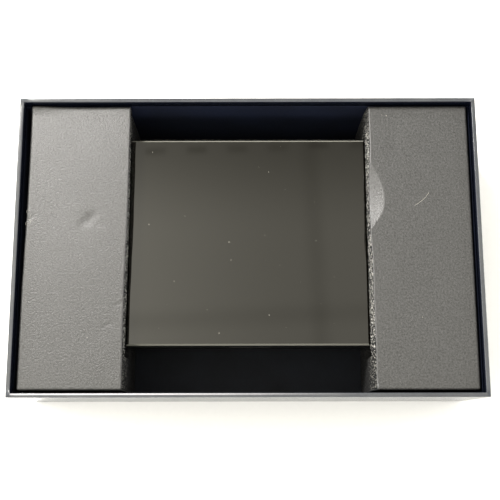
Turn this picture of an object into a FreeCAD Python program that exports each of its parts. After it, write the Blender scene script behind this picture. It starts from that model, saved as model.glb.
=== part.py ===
import FreeCAD, Part
import os
import Sketcher

# A glass negative carrier in its presentation tray: an open rigid box holds
# two faced foam cradles, and the closed two-leaf carrier lies between them
# with the ends of its lower leaf in the cradles' pockets.
#
# Millimetres. The origin is the middle of the tray's underside: +X runs along
# the tray, +Y away from the user and +Z up. The carrier's hinge is at the rear.

doc = FreeCAD.newDocument("negative_carrier")
sheet = doc.addObject("Spreadsheet::Sheet", "Sizes")

SIZES = [
    # Tray: greyboard panels, wrapped outside and lined inside.
    ("tray_length", 260.0, "outside, along X"),
    ("tray_width", 169.0, "outside, along Y"),
    ("tray_height", 70.0, "outside, along Z"),
    ("board", 1.9, "thickness of the greyboard panels"),
    ("wrap_paper", 0.2, "thickness of the outer wrap"),
    ("lining_paper", 0.2, "thickness of the lining"),
    ("turn_in", 7.0, "depth of the wrap folded over the rim"),
    ("stay_leg", 15.0, "length of each leg of a corner tape"),
    ("stay_tape", 0.1, "thickness of a corner tape"),
    # Foam cradles and the paper that faces them.
    ("cradle_spacing", 138.2, "between the cradles' inner faces"),
    ("cradle_side_gap", 1.7, "from a cradle to the end wall"),
    ("cradle_front_gap", 1.7, "from a cradle to the front wall"),
    ("cradle_rear_gap", 0.8, "from a cradle to the rear wall"),
    ("rim_drop", 5.0, "from the rim down to the cradles' top"),
    ("facing_paper", 0.4, "thickness of the facing"),
    ("facing_lift", 1.0, "from the floor up to the facing's lower edge"),
    ("cradle_round", 1.5, "outer radius of the facing's folds"),
    ("cover_drop", 13.5, "from the cradles' top down to the carrier's cover"),
    ("pocket_depth", 11.8, "depth of a cradle's pocket along X"),
    ("pocket_headroom", 2.5, "free height over the closed carrier"),
    ("pocket_front_play", 6.5, "pocket beyond the carrier's front face"),
    ("pocket_rear_play", 3.5, "pocket beyond the carrier's rear face"),
    # Carrier: two leaves, each with a window and a pane.
    ("front_well", 27.1, "finger space in front of the carrier"),
    ("swing_clearance", 4.8, "from the open leaf to the rear wall"),
    ("leaf_side_play", 0.5, "from the upper leaf to a cradle's face"),
    ("tongue_play", 0.5, "from the lower leaf's end to the pocket's end"),
    ("lower_leaf", 11.0, "thickness of the lower frame"),
    ("leaf_gap", 0.8, "film gap between the closed leaves"),
    ("upper_leaf", 8.2, "thickness of the upper frame"),
    ("cover_bond", 0.3, "thickness of the tape under the cover glass"),
    ("bond_inset", 1.0, "from the leaf's edge to the tape"),
    ("bond_width", 8.0, "width of the tape"),
    ("cover_glass", 2.7, "thickness of the cover glass"),
    ("cover_chamfer", 0.9, "chamfer round the cover glass's top"),
    ("window_end", 13.4, "from the upper leaf's end to the window"),
    ("window_side", 19.0, "from a leaf's long side to the window"),
    ("pane_land", 7.0, "width of a pane resting on its frame"),
    ("pane_play", 0.2, "gap round a pane in its rebate"),
    ("pane", 3.0, "thickness of a film pane"),
    ("gasket", 0.5, "thickness of a pane's gasket"),
    ("gasket_width", 4.0, "width of a pane's gasket"),
    ("felt", 0.6, "thickness of the light seal"),
    ("felt_width", 2.5, "width of the light seal"),
    ("felt_inset", 0.8, "from the pane's rebate to the light seal"),
    ("guide_height", 0.5, "thickness of a film guide"),
    ("guide_width", 1.5, "width of a film guide"),
    ("guide_setback", 5.0, "from the window's edge to a film guide"),
    ("guide_span", 40.0, "length of a film guide"),
    ("magnet_radius", 3.0, "radius of a closing magnet"),
    ("magnet_depth", 3.0, "thickness of a closing magnet"),
    ("keeper_depth", 1.5, "thickness of a steel keeper"),
    ("magnet_edge", 4.5, "from the front face to a magnet's axis"),
    ("magnet_spacing", 100.0, "between the magnets' axes"),
    ("thumb_notch", 24.0, "length of the opening notch"),
    ("thumb_notch_depth", 3.0, "depth and height of the opening notch"),
    # Hinges, along the carrier's rear face.
    ("hinge_spacing", 90.0, "between the hinges' middles"),
    ("hinge_length", 24.0, "length of a hinge"),
    ("hinge_setback", 0.5, "from the rear face back to the hinge axis"),
    ("knuckle_radius", 2.4, "outer radius of a knuckle"),
    ("knuckle_gap", 0.3, "between neighbouring knuckles"),
    ("knuckle_room", 0.4, "between a knuckle and the frames"),
    ("hinge_pin", 1.0, "radius of a hinge pin"),
    ("pin_play", 0.05, "radial play of a pin or a screw in its hole"),
    ("hinge_plate", 1.2, "thickness of a hinge plate"),
    ("lower_plate", 6.0, "height of a lower hinge plate"),
    ("upper_plate", 4.8, "height of an upper hinge plate"),
    ("screw_radius", 0.9, "radius of a screw's shank"),
    ("screw_head", 1.7, "radius of a screw's head"),
    ("screw_length", 5.0, "length of a screw"),
    ("screw_tip_room", 0.5, "depth of a screw's hole past its tip"),
    ("screw_spacing", 14.0, "between a plate's two screws"),
]
for row, (name, value, note) in enumerate(SIZES, start=1):
    sheet.set(f"A{row}", name)
    sheet.set(f"B{row}", str(value))
    sheet.set(f"C{row}", note)
    sheet.setAlias(f"B{row}", name)
doc.recompute()


def size(name):
    """The expression that reads one driving size."""
    return f"Sizes.{name}"


# Expressions for the places that several pieces share.
WALL = f"({size('wrap_paper')} + {size('board')} + {size('lining_paper')})"
HALF_X = f"({size('tray_length')} / 2)"
HALF_Y = f"({size('tray_width')} / 2)"
RIM = size("tray_height")
CLEAR_X = f"({HALF_X} - {WALL})"
CLEAR_Y = f"({HALF_Y} - {WALL})"
FLOOR = WALL

CRADLE_IN = f"({size('cradle_spacing')} / 2)"
CRADLE_OUT = f"({CLEAR_X} - {size('cradle_side_gap')})"
CRADLE_FRONT = f"(-{CLEAR_Y} + {size('cradle_front_gap')})"
CRADLE_REAR = f"({CLEAR_Y} - {size('cradle_rear_gap')})"
CRADLE_TOP = f"({RIM} - {size('rim_drop')})"

LEAVES = f"({size('lower_leaf')} + {size('leaf_gap')} + {size('upper_leaf')})"
COVER = f"({size('cover_bond')} + {size('cover_glass')})"
SEAT = f"({CRADLE_TOP} - {size('cover_drop')} - {LEAVES} - {COVER})"
LOWER_TOP = f"({SEAT} + {size('lower_leaf')})"
UPPER_FOOT = f"({LOWER_TOP} + {size('leaf_gap')})"
UPPER_TOP = f"({UPPER_FOOT} + {size('upper_leaf')})"
COVER_FOOT = f"({UPPER_TOP} + {size('cover_bond')})"
COVER_TOP = f"({COVER_FOOT} + {size('cover_glass')})"
HINGE_Z = f"({LOWER_TOP} + {size('leaf_gap')} / 2)"
POCKET_TOP = f"({COVER_TOP} + {size('pocket_headroom')})"

REAR_WELL = f"({size('hinge_setback')} + {COVER_TOP} - {HINGE_Z} + {size('swing_clearance')})"
CARRIER_FRONT = f"(-{CLEAR_Y} + {size('front_well')})"
CARRIER_REAR = f"({CLEAR_Y} - {REAR_WELL})"
CARRIER_MID = f"(({CARRIER_FRONT} + {CARRIER_REAR}) / 2)"
CARRIER_DEPTH = f"({CARRIER_REAR} - {CARRIER_FRONT})"
HINGE_Y = f"({CARRIER_REAR} + {size('hinge_setback')})"
LEAF_LENGTH = f"({size('cradle_spacing')} - 2 * {size('leaf_side_play')})"
POCKET_END = f"({CRADLE_IN} + {size('pocket_depth')})"
TONGUE_LENGTH = f"(2 * ({POCKET_END} - {size('tongue_play')}))"

WINDOW = (
    f"({LEAF_LENGTH} - 2 * {size('window_end')})",
    f"({CARRIER_DEPTH} - 2 * {size('window_side')})",
)
REBATE = f"({size('pane')} + {size('gasket')})"

subparts = []


def subpart(feature, name):
    """Label a finished feature as one sub-part of the object."""
    feature.Label = name
    subparts.append(feature)
    return feature


def place(feature, x, y, z):
    """Bind a feature's position to expressions."""
    for axis, expression in zip("xyz", (x, y, z)):
        feature.setExpression(f"Placement.Base.{axis}", str(expression))


def box(name, x, y, z):
    """A block between a low and a high expression along each axis."""
    block = doc.addObject("Part::Box", name)
    for side, (low, high) in zip(("Length", "Width", "Height"), (x, y, z)):
        block.setExpression(side, f"{high} - ({low})")
    place(block, x[0], y[0], z[0])
    return block


def rod(name, direction, x, y, z, radius, length):
    """A cylinder from the point x, y, z along a direction."""
    cylinder = doc.addObject("Part::Cylinder", name)
    turn = FreeCAD.Rotation(FreeCAD.Vector(0, 0, 1), FreeCAD.Vector(*direction))
    cylinder.Placement = FreeCAD.Placement(FreeCAD.Vector(), turn)
    cylinder.setExpression("Radius", radius)
    cylinder.setExpression("Height", length)
    place(cylinder, x, y, z)
    return cylinder


def fuse(name, pieces):
    """One solid from pieces that meet."""
    joined = doc.addObject("Part::MultiFuse", name)
    joined.Shapes = pieces
    joined.Refine = True
    return joined


def cut(name, base, tools):
    """The base with every tool taken away."""
    tool = tools[0] if len(tools) == 1 else fuse(f"{name}_tools", tools)
    result = doc.addObject("Part::Cut", name)
    result.Base = base
    result.Tool = tool
    result.Refine = True
    return result


def group(name, pieces):
    """Separate like solids that share one node."""
    together = doc.addObject("Part::Compound", name)
    together.Links = pieces
    return together


def mirrored(low, high, side):
    """A span along X on the side +1, or its mirror image on the side -1."""
    if side > 0:
        return (low, high)
    return (f"-({high})", f"-({low})")


def rectangle(body, name, level, length, depth):
    """A rectangle about the body's own Z axis, at a level above its XY plane."""
    sketch = body.newObject("Sketcher::SketchObject", name)
    planes = [item for item in body.Origin.OriginFeatures if item.Role == "XY_Plane"]
    sketch.AttachmentSupport = [(planes[0], "")]
    sketch.MapMode = "FlatFace"
    sketch.setExpression("AttachmentOffset.Base.z", str(level))
    corners = [FreeCAD.Vector(a, b, 0) for a, b in ((-9, -6), (9, -6), (9, 6), (-9, 6))]
    for index, corner in enumerate(corners):
        sketch.addGeometry(Part.LineSegment(corner, corners[(index + 1) % 4]))
    for index in range(4):
        sketch.addConstraint(Sketcher.Constraint("Coincident", index, 2, (index + 1) % 4, 1))
        direction = "Horizontal" if index % 2 == 0 else "Vertical"
        sketch.addConstraint(Sketcher.Constraint(direction, index))
    sketch.addConstraint(Sketcher.Constraint("Symmetric", 0, 1, 1, 2, -1, 1))
    along = sketch.addConstraint(Sketcher.Constraint("DistanceX", 0, 1, 0, 2, 18.0))
    across = sketch.addConstraint(Sketcher.Constraint("DistanceY", 1, 1, 1, 2, 12.0))
    sketch.setExpression(f"Constraints[{along}]", length)
    sketch.setExpression(f"Constraints[{across}]", depth)
    return sketch


def plate(name, x, y, z, length, depth, thickness):
    """A body whose first feature is a rectangular pad, centred on x and y."""
    body = doc.addObject("PartDesign::Body", name)
    place(body, x, y, z)
    pad = body.newObject("PartDesign::Pad", f"{name}_pad")
    pad.Profile = rectangle(body, f"{name}_outline", 0, length, depth)
    pad.setExpression("Length", thickness)
    return body


def pocket(body, name, level, length, depth, reach, upwards=False):
    """A rectangular pocket from a level, down into the body or up into it."""
    before = body_volume(body)
    recess = body.newObject("PartDesign::Pocket", name)
    recess.Profile = rectangle(body, f"{name}_outline", level, length, depth)
    recess.Reversed = upwards
    recess.setExpression("Length", reach)
    if body_volume(body) >= before:
        raise RuntimeError(f"{name} cuts nothing")


def body_volume(body):
    """The volume of a body as it stands."""
    doc.recompute()
    return body.Shape.Volume


def dress(body, kind, name, setting, amount, chosen):
    """A fillet or chamfer on the edges that the test chooses."""
    doc.recompute()
    base = body.Tip
    picked = [f"Edge{i}" for i, edge in enumerate(base.Shape.Edges, start=1) if chosen(edge, base.Shape.BoundBox)]
    feature = body.newObject(kind, name)
    feature.Base = (base, picked)
    feature.setExpression(setting, amount)


def ring(name, x, y, z, length, depth, width, thickness):
    """A flat rectangular ring of a given width, centred on x and y."""
    body = plate(name, x, y, z, length, depth, thickness)
    hole = (f"{length} - 2 * {width}", f"{depth} - 2 * {width}")
    pocket(body, f"{name}_hole", thickness, hole[0], hole[1], thickness)
    return body


# Tray ---------------------------------------------------------------------

def build_tray_boards():
    """Five greyboard panels: the end walls butt between the long walls."""
    skin = size("wrap_paper")
    inner_x = f"({HALF_X} - {skin} - {size('board')})"
    inner_y = f"({HALF_Y} - {skin} - {size('board')})"
    outer_x = f"({HALF_X} - {skin})"
    outer_y = f"({HALF_Y} - {skin})"
    levels = (skin, f"{RIM} - {skin}")
    floor = (skin, f"{skin} + {size('board')}")
    subpart(box("BaseBoard", (f"-{inner_x}", inner_x), (f"-{inner_y}", inner_y), floor), "base_board")
    for name, side in (("front", -1), ("rear", 1)):
        span = mirrored(inner_y, outer_y, side)
        panel = box(f"{name}_panel", (f"-{outer_x}", outer_x), span, levels)
        subpart(panel, f"{name}_wall_board")
    for name, side in (("left", -1), ("right", 1)):
        span = mirrored(inner_x, outer_x, side)
        panel = box(f"{name}_panel", span, (f"-{inner_y}", inner_y), levels)
        subpart(panel, f"{name}_wall_board")


def build_corner_stays():
    """Paper tape folded round the outside of each corner, under the wrap."""
    face_x = f"({HALF_X} - {size('wrap_paper')})"
    face_y = f"({HALF_Y} - {size('wrap_paper')})"
    tape = size("stay_tape")
    leg = size("stay_leg")
    levels = (size("wrap_paper"), f"{RIM} - {size('wrap_paper')}")
    stays = []
    for side_x in (-1, 1):
        for side_y in (-1, 1):
            name = f"Stay{len(stays)}"
            along = mirrored(f"{face_x} - {leg}", f"{face_x} + {tape}", side_x)
            across = mirrored(f"{face_y} - {leg}", f"{face_y} + {tape}", side_y)
            skin_x = mirrored(face_x, f"{face_x} + {tape}", side_x)
            skin_y = mirrored(face_y, f"{face_y} + {tape}", side_y)
            legs = [
                box(f"{name}_along", along, skin_y, levels),
                box(f"{name}_across", skin_x, across, levels),
            ]
            stays.append(fuse(name, legs))
    subpart(group("CornerStays", stays), "corner_stays")
    return stays


def build_wraps(stays):
    """The outer wrap: a bottom sheet and four walls folded over the rim."""
    skin = size("wrap_paper")
    whole_x = (f"-{HALF_X}", HALF_X)
    whole_y = (f"-{HALF_Y}", HALF_Y)
    subpart(box("BaseWrap", whole_x, whole_y, ("0", skin)), "base_wrap")

    levels = (skin, RIM)
    rim = (f"{RIM} - {skin}", RIM)
    fold = (f"{RIM} - {size('turn_in')}", RIM)
    clear_x = (f"-{CLEAR_X}", CLEAR_X)
    clear_y = (f"-{CLEAR_Y}", CLEAR_Y)
    lining = size("lining_paper")
    for name, side in (("front", -1), ("rear", 1)):
        wall = mirrored(CLEAR_Y, HALF_Y, side)
        sheets = [
            box(f"{name}_outside", whole_x, mirrored(f"{HALF_Y} - {skin}", HALF_Y, side), levels),
            box(f"{name}_rim", whole_x, wall, rim),
            box(f"{name}_fold", clear_x, mirrored(CLEAR_Y, f"{CLEAR_Y} + {lining}", side), fold),
        ]
        for end, end_side in (("left", -1), ("right", 1)):
            end_span = mirrored(f"{HALF_X} - {skin}", HALF_X, end_side)
            sheets.append(box(f"{name}_{end}_return", end_span, wall, levels))
        wrap = cut(f"{name}_wrap_cut", fuse(f"{name}_sheets", sheets), stays)
        subpart(wrap, f"{name}_wrap")
    for name, side in (("left", -1), ("right", 1)):
        wall = mirrored(CLEAR_X, HALF_X, side)
        sheets = [
            box(f"{name}_outside", mirrored(f"{HALF_X} - {skin}", HALF_X, side), clear_y, levels),
            box(f"{name}_rim", wall, clear_y, rim),
            box(f"{name}_fold", mirrored(CLEAR_X, f"{CLEAR_X} + {lining}", side), clear_y, fold),
        ]
        wrap = cut(f"{name}_wrap_cut", fuse(f"{name}_sheets", sheets), stays)
        subpart(wrap, f"{name}_wrap")


def build_linings():
    """The lining: a floor sheet and four wall sheets up to the wrap's fold."""
    lining = size("lining_paper")
    clear_x = (f"-{CLEAR_X}", CLEAR_X)
    clear_y = (f"-{CLEAR_Y}", CLEAR_Y)
    under = f"({FLOOR} - {lining})"
    levels = (under, f"{RIM} - {size('turn_in')}")
    subpart(box("FloorLining", clear_x, clear_y, (under, FLOOR)), "floor_lining")
    for name, side in (("front", -1), ("rear", 1)):
        span = mirrored(CLEAR_Y, f"{CLEAR_Y} + {lining}", side)
        subpart(box(f"{name}_lining_sheet", clear_x, span, levels), f"{name}_lining")
    for name, side in (("left", -1), ("right", 1)):
        span = mirrored(CLEAR_X, f"{CLEAR_X} + {lining}", side)
        subpart(box(f"{name}_lining_sheet", span, clear_y, levels), f"{name}_lining")


# Cradles ------------------------------------------------------------------

def rounded_block(name, side, inset, foot, radius):
    """A cradle's outline, inset from the facing's outside, with folded edges round."""
    near = f"({CRADLE_FRONT} + {inset})"
    far = f"({CRADLE_REAR} - {inset})"
    end = f"({CRADLE_OUT} - {inset})"
    top = f"({CRADLE_TOP} - {inset})"
    body = plate(
        name, f"{side} * ({CRADLE_IN} + {end}) / 2", f"({near} + {far}) / 2", foot,
        f"{end} - {CRADLE_IN}", f"{far} - {near}", f"{top} - {foot}",
    )

    def is_folded(edge, bounds):
        """Every edge of the block's end, top, front and rear but its inner and lower ones."""
        middle = edge.CenterOfMass
        inner = bounds.XMin if side > 0 else bounds.XMax
        at_inner = abs(middle.x - inner) < 0.01
        at_foot = abs(middle.z - bounds.ZMin) < 0.01
        return not at_inner and not at_foot

    dress(body, "PartDesign::Fillet", f"{name}_folds", "Radius", radius, is_folded)
    return body


def build_cradle(name, side):
    """Three foam layers, the middle one notched for the carrier's end, and their facing."""
    paper = size("facing_paper")
    foam = rounded_block(f"{name}_foam", side, paper, FLOOR, f"{size('cradle_round')} - {paper}")
    across = (f"{CRADLE_FRONT} - 1", f"{CRADLE_REAR} + 1")
    reach = mirrored(f"{CRADLE_IN} - 1", f"{CRADLE_OUT} + 1", side)
    layers = {}
    for layer, low, high in (
        ("base", f"{FLOOR} - 1", SEAT),
        ("pocket", SEAT, POCKET_TOP),
        ("top", POCKET_TOP, f"{CRADLE_TOP} + 1"),
    ):
        slice_box = box(f"{name}_{layer}_slice", reach, across, (low, high))
        common = doc.addObject("Part::Common", f"{name}_{layer}_layer")
        common.Base = foam
        common.Tool = slice_box
        layers[layer] = common
    notch = box(
        f"{name}_notch",
        mirrored(f"{CRADLE_IN} - 1", POCKET_END, side),
        (f"{CARRIER_FRONT} - {size('pocket_front_play')}", f"{CARRIER_REAR} + {size('pocket_rear_play')}"),
        (f"{SEAT} - 1", f"{POCKET_TOP} + 1"),
    )
    subpart(layers["base"], f"{name}_cradle_base_foam")
    subpart(cut(f"{name}_notched", layers["pocket"], [notch]), f"{name}_cradle_pocket_foam")
    subpart(layers["top"], f"{name}_cradle_top_foam")

    outside = rounded_block(
        f"{name}_outside_block", side, "0", f"({FLOOR} + {size('facing_lift')})", size("cradle_round"),
    )
    subpart(cut(f"{name}_facing_shell", outside, [foam]), f"{name}_cradle_facing")


# Carrier ------------------------------------------------------------------

def hinge_middles():
    """The X of each hinge's middle."""
    return [("left", f"(-{size('hinge_spacing')} / 2)"), ("right", f"({size('hinge_spacing')} / 2)")]


def hinge_recesses(name, low, high):
    """The rear pockets for both hinge plates, and room for the knuckles."""
    tools = []
    room = size("knuckle_room")
    half = f"({size('hinge_length')} / 2 + {room})"
    for side, middle in hinge_middles():
        span = (f"{middle} - {half}", f"{middle} + {half}")
        back = (f"{CARRIER_REAR} - {size('hinge_plate')}", f"{CARRIER_REAR} + 1")
        tools.append(box(f"{name}_{side}_plate_recess", span, back, (low, high)))
        tools.append(rod(
            f"{name}_{side}_knuckle_recess", (1, 0, 0), span[0], HINGE_Y, HINGE_Z,
            f"{size('knuckle_radius')} + {room}", f"2 * {half}",
        ))
    return tools


def screw_places(level):
    """The axis of each of a leaf's four hinge screws, as X and Z."""
    places = []
    for side, middle in hinge_middles():
        for sign in ("-", "+"):
            places.append((f"{side}{len(places)}", f"{middle} {sign} {size('screw_spacing')} / 2", level))
    return places


def screw_holes(name, level, from_y, radius, reach):
    """Straight holes for a leaf's hinge screws."""
    return [
        rod(f"{name}_{tag}", (0, -1, 0), x, from_y, z, radius, reach)
        for tag, x, z in screw_places(level)
    ]


def head_cone(name, x, z, play):
    """A countersunk screw head's cone, its wide end at the carrier's rear face."""
    cone = doc.addObject("Part::Cone", name)
    turn = FreeCAD.Rotation(FreeCAD.Vector(0, 0, 1), FreeCAD.Vector(0, -1, 0))
    cone.Placement = FreeCAD.Placement(FreeCAD.Vector(), turn)
    cone.setExpression("Radius1", f"{size('screw_head')} + {play}")
    cone.setExpression("Radius2", f"{size('screw_radius')} + {play}")
    cone.setExpression("Height", f"{size('screw_head')} - {size('screw_radius')}")
    place(cone, x, CARRIER_REAR, z)
    return cone


def build_screws(name, level):
    """Four slotted countersunk screws through a leaf's two hinge plates."""
    screws = []
    head = f"({size('screw_head')} - {size('screw_radius')})"
    slot_half = f"({size('screw_radius')} / 4)"
    for tag, x, z in screw_places(level):
        shank = rod(
            f"{name}_{tag}_shank", (0, -1, 0), x, f"{CARRIER_REAR} - {head}", z,
            size("screw_radius"), f"{size('screw_length')} - {head}",
        )
        whole = fuse(f"{name}_{tag}_blank", [shank, head_cone(f"{name}_{tag}_head", x, z, "0")])
        slot = box(
            f"{name}_{tag}_slot",
            (f"{x} - {size('screw_head')} - 1", f"{x} + {size('screw_head')} + 1"),
            (f"{CARRIER_REAR} - {head} / 2", f"{CARRIER_REAR} + 1"),
            (f"{z} - {slot_half}", f"{z} + {slot_half}"),
        )
        screws.append(cut(f"{name}_{tag}", whole, [slot]))
    subpart(group(f"{name}_group", screws), name)


def build_hinge_plates(name, plate_low, plate_high, neck, outer_knuckles, level):
    """Both hinges' plates of one leaf, with the knuckles that turn on the pins."""
    third = f"(({size('hinge_length')} - 2 * {size('knuckle_gap')}) / 3)"
    step = f"({third} + {size('knuckle_gap')})"
    offsets = (f"-{step}", step) if outer_knuckles else ("0",)
    plates = []
    for side, middle in hinge_middles():
        span = (f"{middle} - {size('hinge_length')} / 2", f"{middle} + {size('hinge_length')} / 2")
        depth = (f"{CARRIER_REAR} - {size('hinge_plate')}", CARRIER_REAR)
        solids = [box(f"{name}_{side}_plate", span, depth, (plate_low, plate_high))]
        for index, offset in enumerate(offsets):
            start = f"({middle} + {offset} - {third} / 2)"
            solids.append(box(f"{name}_{side}_neck{index}", (start, f"{start} + {third}"), depth, neck))
            solids.append(rod(
                f"{name}_{side}_knuckle{index}", (1, 0, 0), start, HINGE_Y, HINGE_Z,
                size("knuckle_radius"), third,
            ))
        bore = rod(
            f"{name}_{side}_bore", (1, 0, 0), f"{span[0]} - 1", HINGE_Y, HINGE_Z,
            f"{size('hinge_pin')} + {size('pin_play')}", f"{size('hinge_length')} + 2",
        )
        plates.append(cut(f"{name}_{side}", fuse(f"{name}_{side}_blank", solids), [bore]))
    tools = screw_holes(f"{name}_hole", level, CARRIER_REAR, SCREW_HOLE, f"{size('hinge_plate')} + 1")
    tools += [head_cone(f"{name}_sink_{tag}", x, z, size("pin_play")) for tag, x, z in screw_places(level)]
    drilled = []
    for index, blank in enumerate(plates):
        own = [tool for number, tool in enumerate(tools) if (number % 4) // 2 == index]
        drilled.append(cut(f"{name}_drilled{index}", blank, own))
    subpart(group(f"{name}_pair", drilled), name)


def magnet_rods(name, level, direction, radius, depth):
    """One short rod per closing magnet, from a level up or down."""
    y = f"{CARRIER_FRONT} + {size('magnet_edge')}"
    rods = []
    for side, sign in (("left", "-"), ("right", "")):
        x = f"{sign}{size('magnet_spacing')} / 2"
        rods.append(rod(f"{name}_{side}", (0, 0, direction), x, y, level, radius, depth))
    return rods


def pane_rebate():
    """Length and depth of the rebate that holds a pane."""
    extra = f"2 * ({size('pane_land')} + {size('pane_play')})"
    return (f"({WINDOW[0]} + {extra})", f"({WINDOW[1]} + {extra})")


def pane_outline():
    """Length and depth of a pane."""
    return (f"({WINDOW[0]} + 2 * {size('pane_land')})", f"({WINDOW[1]} + 2 * {size('pane_land')})")


# Levels of the hinge plates and their screws on each leaf.
LOWER_PLATE_TOP = f"({HINGE_Z} - {size('knuckle_radius')} - {size('knuckle_room')})"
LOWER_PLATE_FOOT = f"({LOWER_PLATE_TOP} - {size('lower_plate')})"
UPPER_PLATE_FOOT = f"({HINGE_Z} + {size('knuckle_radius')} + {size('knuckle_room')})"
UPPER_PLATE_TOP = f"({UPPER_PLATE_FOOT} + {size('upper_plate')})"
LOWER_SCREWS = f"(({LOWER_PLATE_TOP} + {LOWER_PLATE_FOOT}) / 2)"
UPPER_SCREWS = f"(({UPPER_PLATE_TOP} + {UPPER_PLATE_FOOT}) / 2)"
SCREW_HOLE = f"({size('screw_radius')} + {size('pin_play')})"
SCREW_REACH = f"({size('screw_length')} + {size('screw_tip_room')})"


def build_lower_leaf():
    """The fixed leaf: its ends are the tongues that lie in the cradles' pockets."""
    blank = plate("LowerPlate", "0", CARRIER_MID, SEAT, TONGUE_LENGTH, CARRIER_DEPTH, size("lower_leaf"))
    pocket(blank, "LowerWindow", size("lower_leaf"), WINDOW[0], WINDOW[1], size("lower_leaf"))
    pocket(blank, "LowerRebate", size("lower_leaf"), *pane_rebate(), REBATE)
    half_notch = f"{size('thumb_notch')} / 2"
    notch = box(
        "ThumbNotch", (f"-{half_notch}", half_notch),
        (f"{CARRIER_FRONT} - 1", f"{CARRIER_FRONT} + {size('thumb_notch_depth')}"),
        (f"{LOWER_TOP} - {size('thumb_notch_depth')}", f"{LOWER_TOP} + 1"),
    )
    magnets = magnet_rods("magnet_seat", LOWER_TOP, -1, size("magnet_radius"), size("magnet_depth"))
    tools = [notch] + magnets
    tools += hinge_recesses("lower_hinge", LOWER_PLATE_FOOT, f"{LOWER_TOP} + 1")
    tools += screw_holes("lower_thread", LOWER_SCREWS, CARRIER_REAR, SCREW_HOLE, SCREW_REACH)
    subpart(cut("LowerFrameCut", blank, tools), "lower_frame")

    pane_foot = f"({LOWER_TOP} - {size('pane')})"
    subpart(
        ring("LowerGasket", "0", CARRIER_MID, f"({pane_foot} - {size('gasket')})", *pane_outline(),
             size("gasket_width"), size("gasket")),
        "lower_gasket",
    )
    subpart(plate("LowerPane", "0", CARRIER_MID, pane_foot, *pane_outline(), size("pane")), "lower_film_glass")

    rebate = pane_rebate()
    seal = [f"({side} + 2 * ({size('felt_inset')} + {size('felt_width')}))" for side in rebate]
    subpart(
        ring("LightSeal", "0", CARRIER_MID, LOWER_TOP, seal[0], seal[1], size("felt_width"), size("felt")),
        "light_seal_felt",
    )
    discs = magnet_rods("magnet_disc", LOWER_TOP, -1, size("magnet_radius"), size("magnet_depth"))
    subpart(group("Magnets", discs), "closing_magnets")
    build_film_guides()


def build_film_guides():
    """Two thin strips on the lower pane, which the film's end and rear edge lie against."""
    levels = (LOWER_TOP, f"{LOWER_TOP} + {size('guide_height')}")
    half_span = f"{size('guide_span')} / 2"
    end = f"({WINDOW[0]} / 2 + {size('guide_setback')})"
    rear = f"({CARRIER_MID} + {WINDOW[1]} / 2 + {size('guide_setback')})"
    guides = [
        box("EndGuide", (f"-{end} - {size('guide_width')}", f"-{end}"),
            (f"{CARRIER_MID} - {half_span}", f"{CARRIER_MID} + {half_span}"), levels),
        box("RearGuide", (f"-{half_span}", half_span), (rear, f"{rear} + {size('guide_width')}"), levels),
    ]
    subpart(group("FilmGuides", guides), "film_guides")


def build_upper_leaf():
    """The leaf that swings: frame, pressure pane and the cover glass over it all."""
    blank = plate("UpperPlate", "0", CARRIER_MID, UPPER_FOOT, LEAF_LENGTH, CARRIER_DEPTH, size("upper_leaf"))
    pocket(blank, "UpperWindow", size("upper_leaf"), WINDOW[0], WINDOW[1], size("upper_leaf"))
    pocket(blank, "UpperRebate", 0, *pane_rebate(), REBATE, upwards=True)
    tools = magnet_rods("keeper_seat", UPPER_FOOT, 1, size("magnet_radius"), size("keeper_depth"))
    tools += hinge_recesses("upper_hinge", f"{UPPER_FOOT} - 1", UPPER_PLATE_TOP)
    tools += screw_holes("upper_thread", UPPER_SCREWS, CARRIER_REAR, SCREW_HOLE, SCREW_REACH)
    subpart(cut("UpperFrameCut", blank, tools), "upper_frame")

    pane_top = f"({UPPER_FOOT} + {size('pane')})"
    subpart(plate("UpperPane", "0", CARRIER_MID, UPPER_FOOT, *pane_outline(), size("pane")), "pressure_glass")
    subpart(
        ring("UpperGasket", "0", CARRIER_MID, pane_top, *pane_outline(), size("gasket_width"), size("gasket")),
        "upper_gasket",
    )
    inset = f"2 * {size('bond_inset')}"
    subpart(
        ring("CoverBond", "0", CARRIER_MID, UPPER_TOP, f"({LEAF_LENGTH} - {inset})",
             f"({CARRIER_DEPTH} - {inset})", size("bond_width"), size("cover_bond")),
        "cover_bond_tape",
    )
    cover = plate("CoverPlate", "0", CARRIER_MID, COVER_FOOT, LEAF_LENGTH, CARRIER_DEPTH, size("cover_glass"))

    def is_top(edge, bounds):
        """The four edges of the cover's upper face."""
        return abs(edge.CenterOfMass.z - bounds.ZMax) < 0.01

    dress(cover, "PartDesign::Chamfer", "CoverChamfer", "Size", size("cover_chamfer"), is_top)
    subpart(cover, "cover_glass")
    keepers = magnet_rods("keeper_disc", UPPER_FOOT, 1, size("magnet_radius"), size("keeper_depth"))
    subpart(group("Keepers", keepers), "steel_keepers")


def build_hinges():
    """Two hinges: a middle knuckle on the lower leaf, outer ones on the upper leaf."""
    radius = size("knuckle_radius")
    lower_neck = (f"{LOWER_PLATE_TOP} - 1", f"{HINGE_Z} - {radius} / 2")
    upper_neck = (f"{HINGE_Z} + {radius} / 2", f"{UPPER_PLATE_FOOT} + 1")
    build_hinge_plates("lower_hinge_plates", LOWER_PLATE_FOOT, LOWER_PLATE_TOP, lower_neck, False, LOWER_SCREWS)
    build_hinge_plates("upper_hinge_plates", UPPER_PLATE_FOOT, UPPER_PLATE_TOP, upper_neck, True, UPPER_SCREWS)
    build_screws("lower_hinge_screws", LOWER_SCREWS)
    build_screws("upper_hinge_screws", UPPER_SCREWS)
    pins = [
        rod(f"{side}_pin", (1, 0, 0), f"{middle} - {size('hinge_length')} / 2", HINGE_Y, HINGE_Z,
            size("hinge_pin"), size("hinge_length"))
        for side, middle in hinge_middles()
    ]
    subpart(group("HingePins", pins), "hinge_pins")


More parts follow.
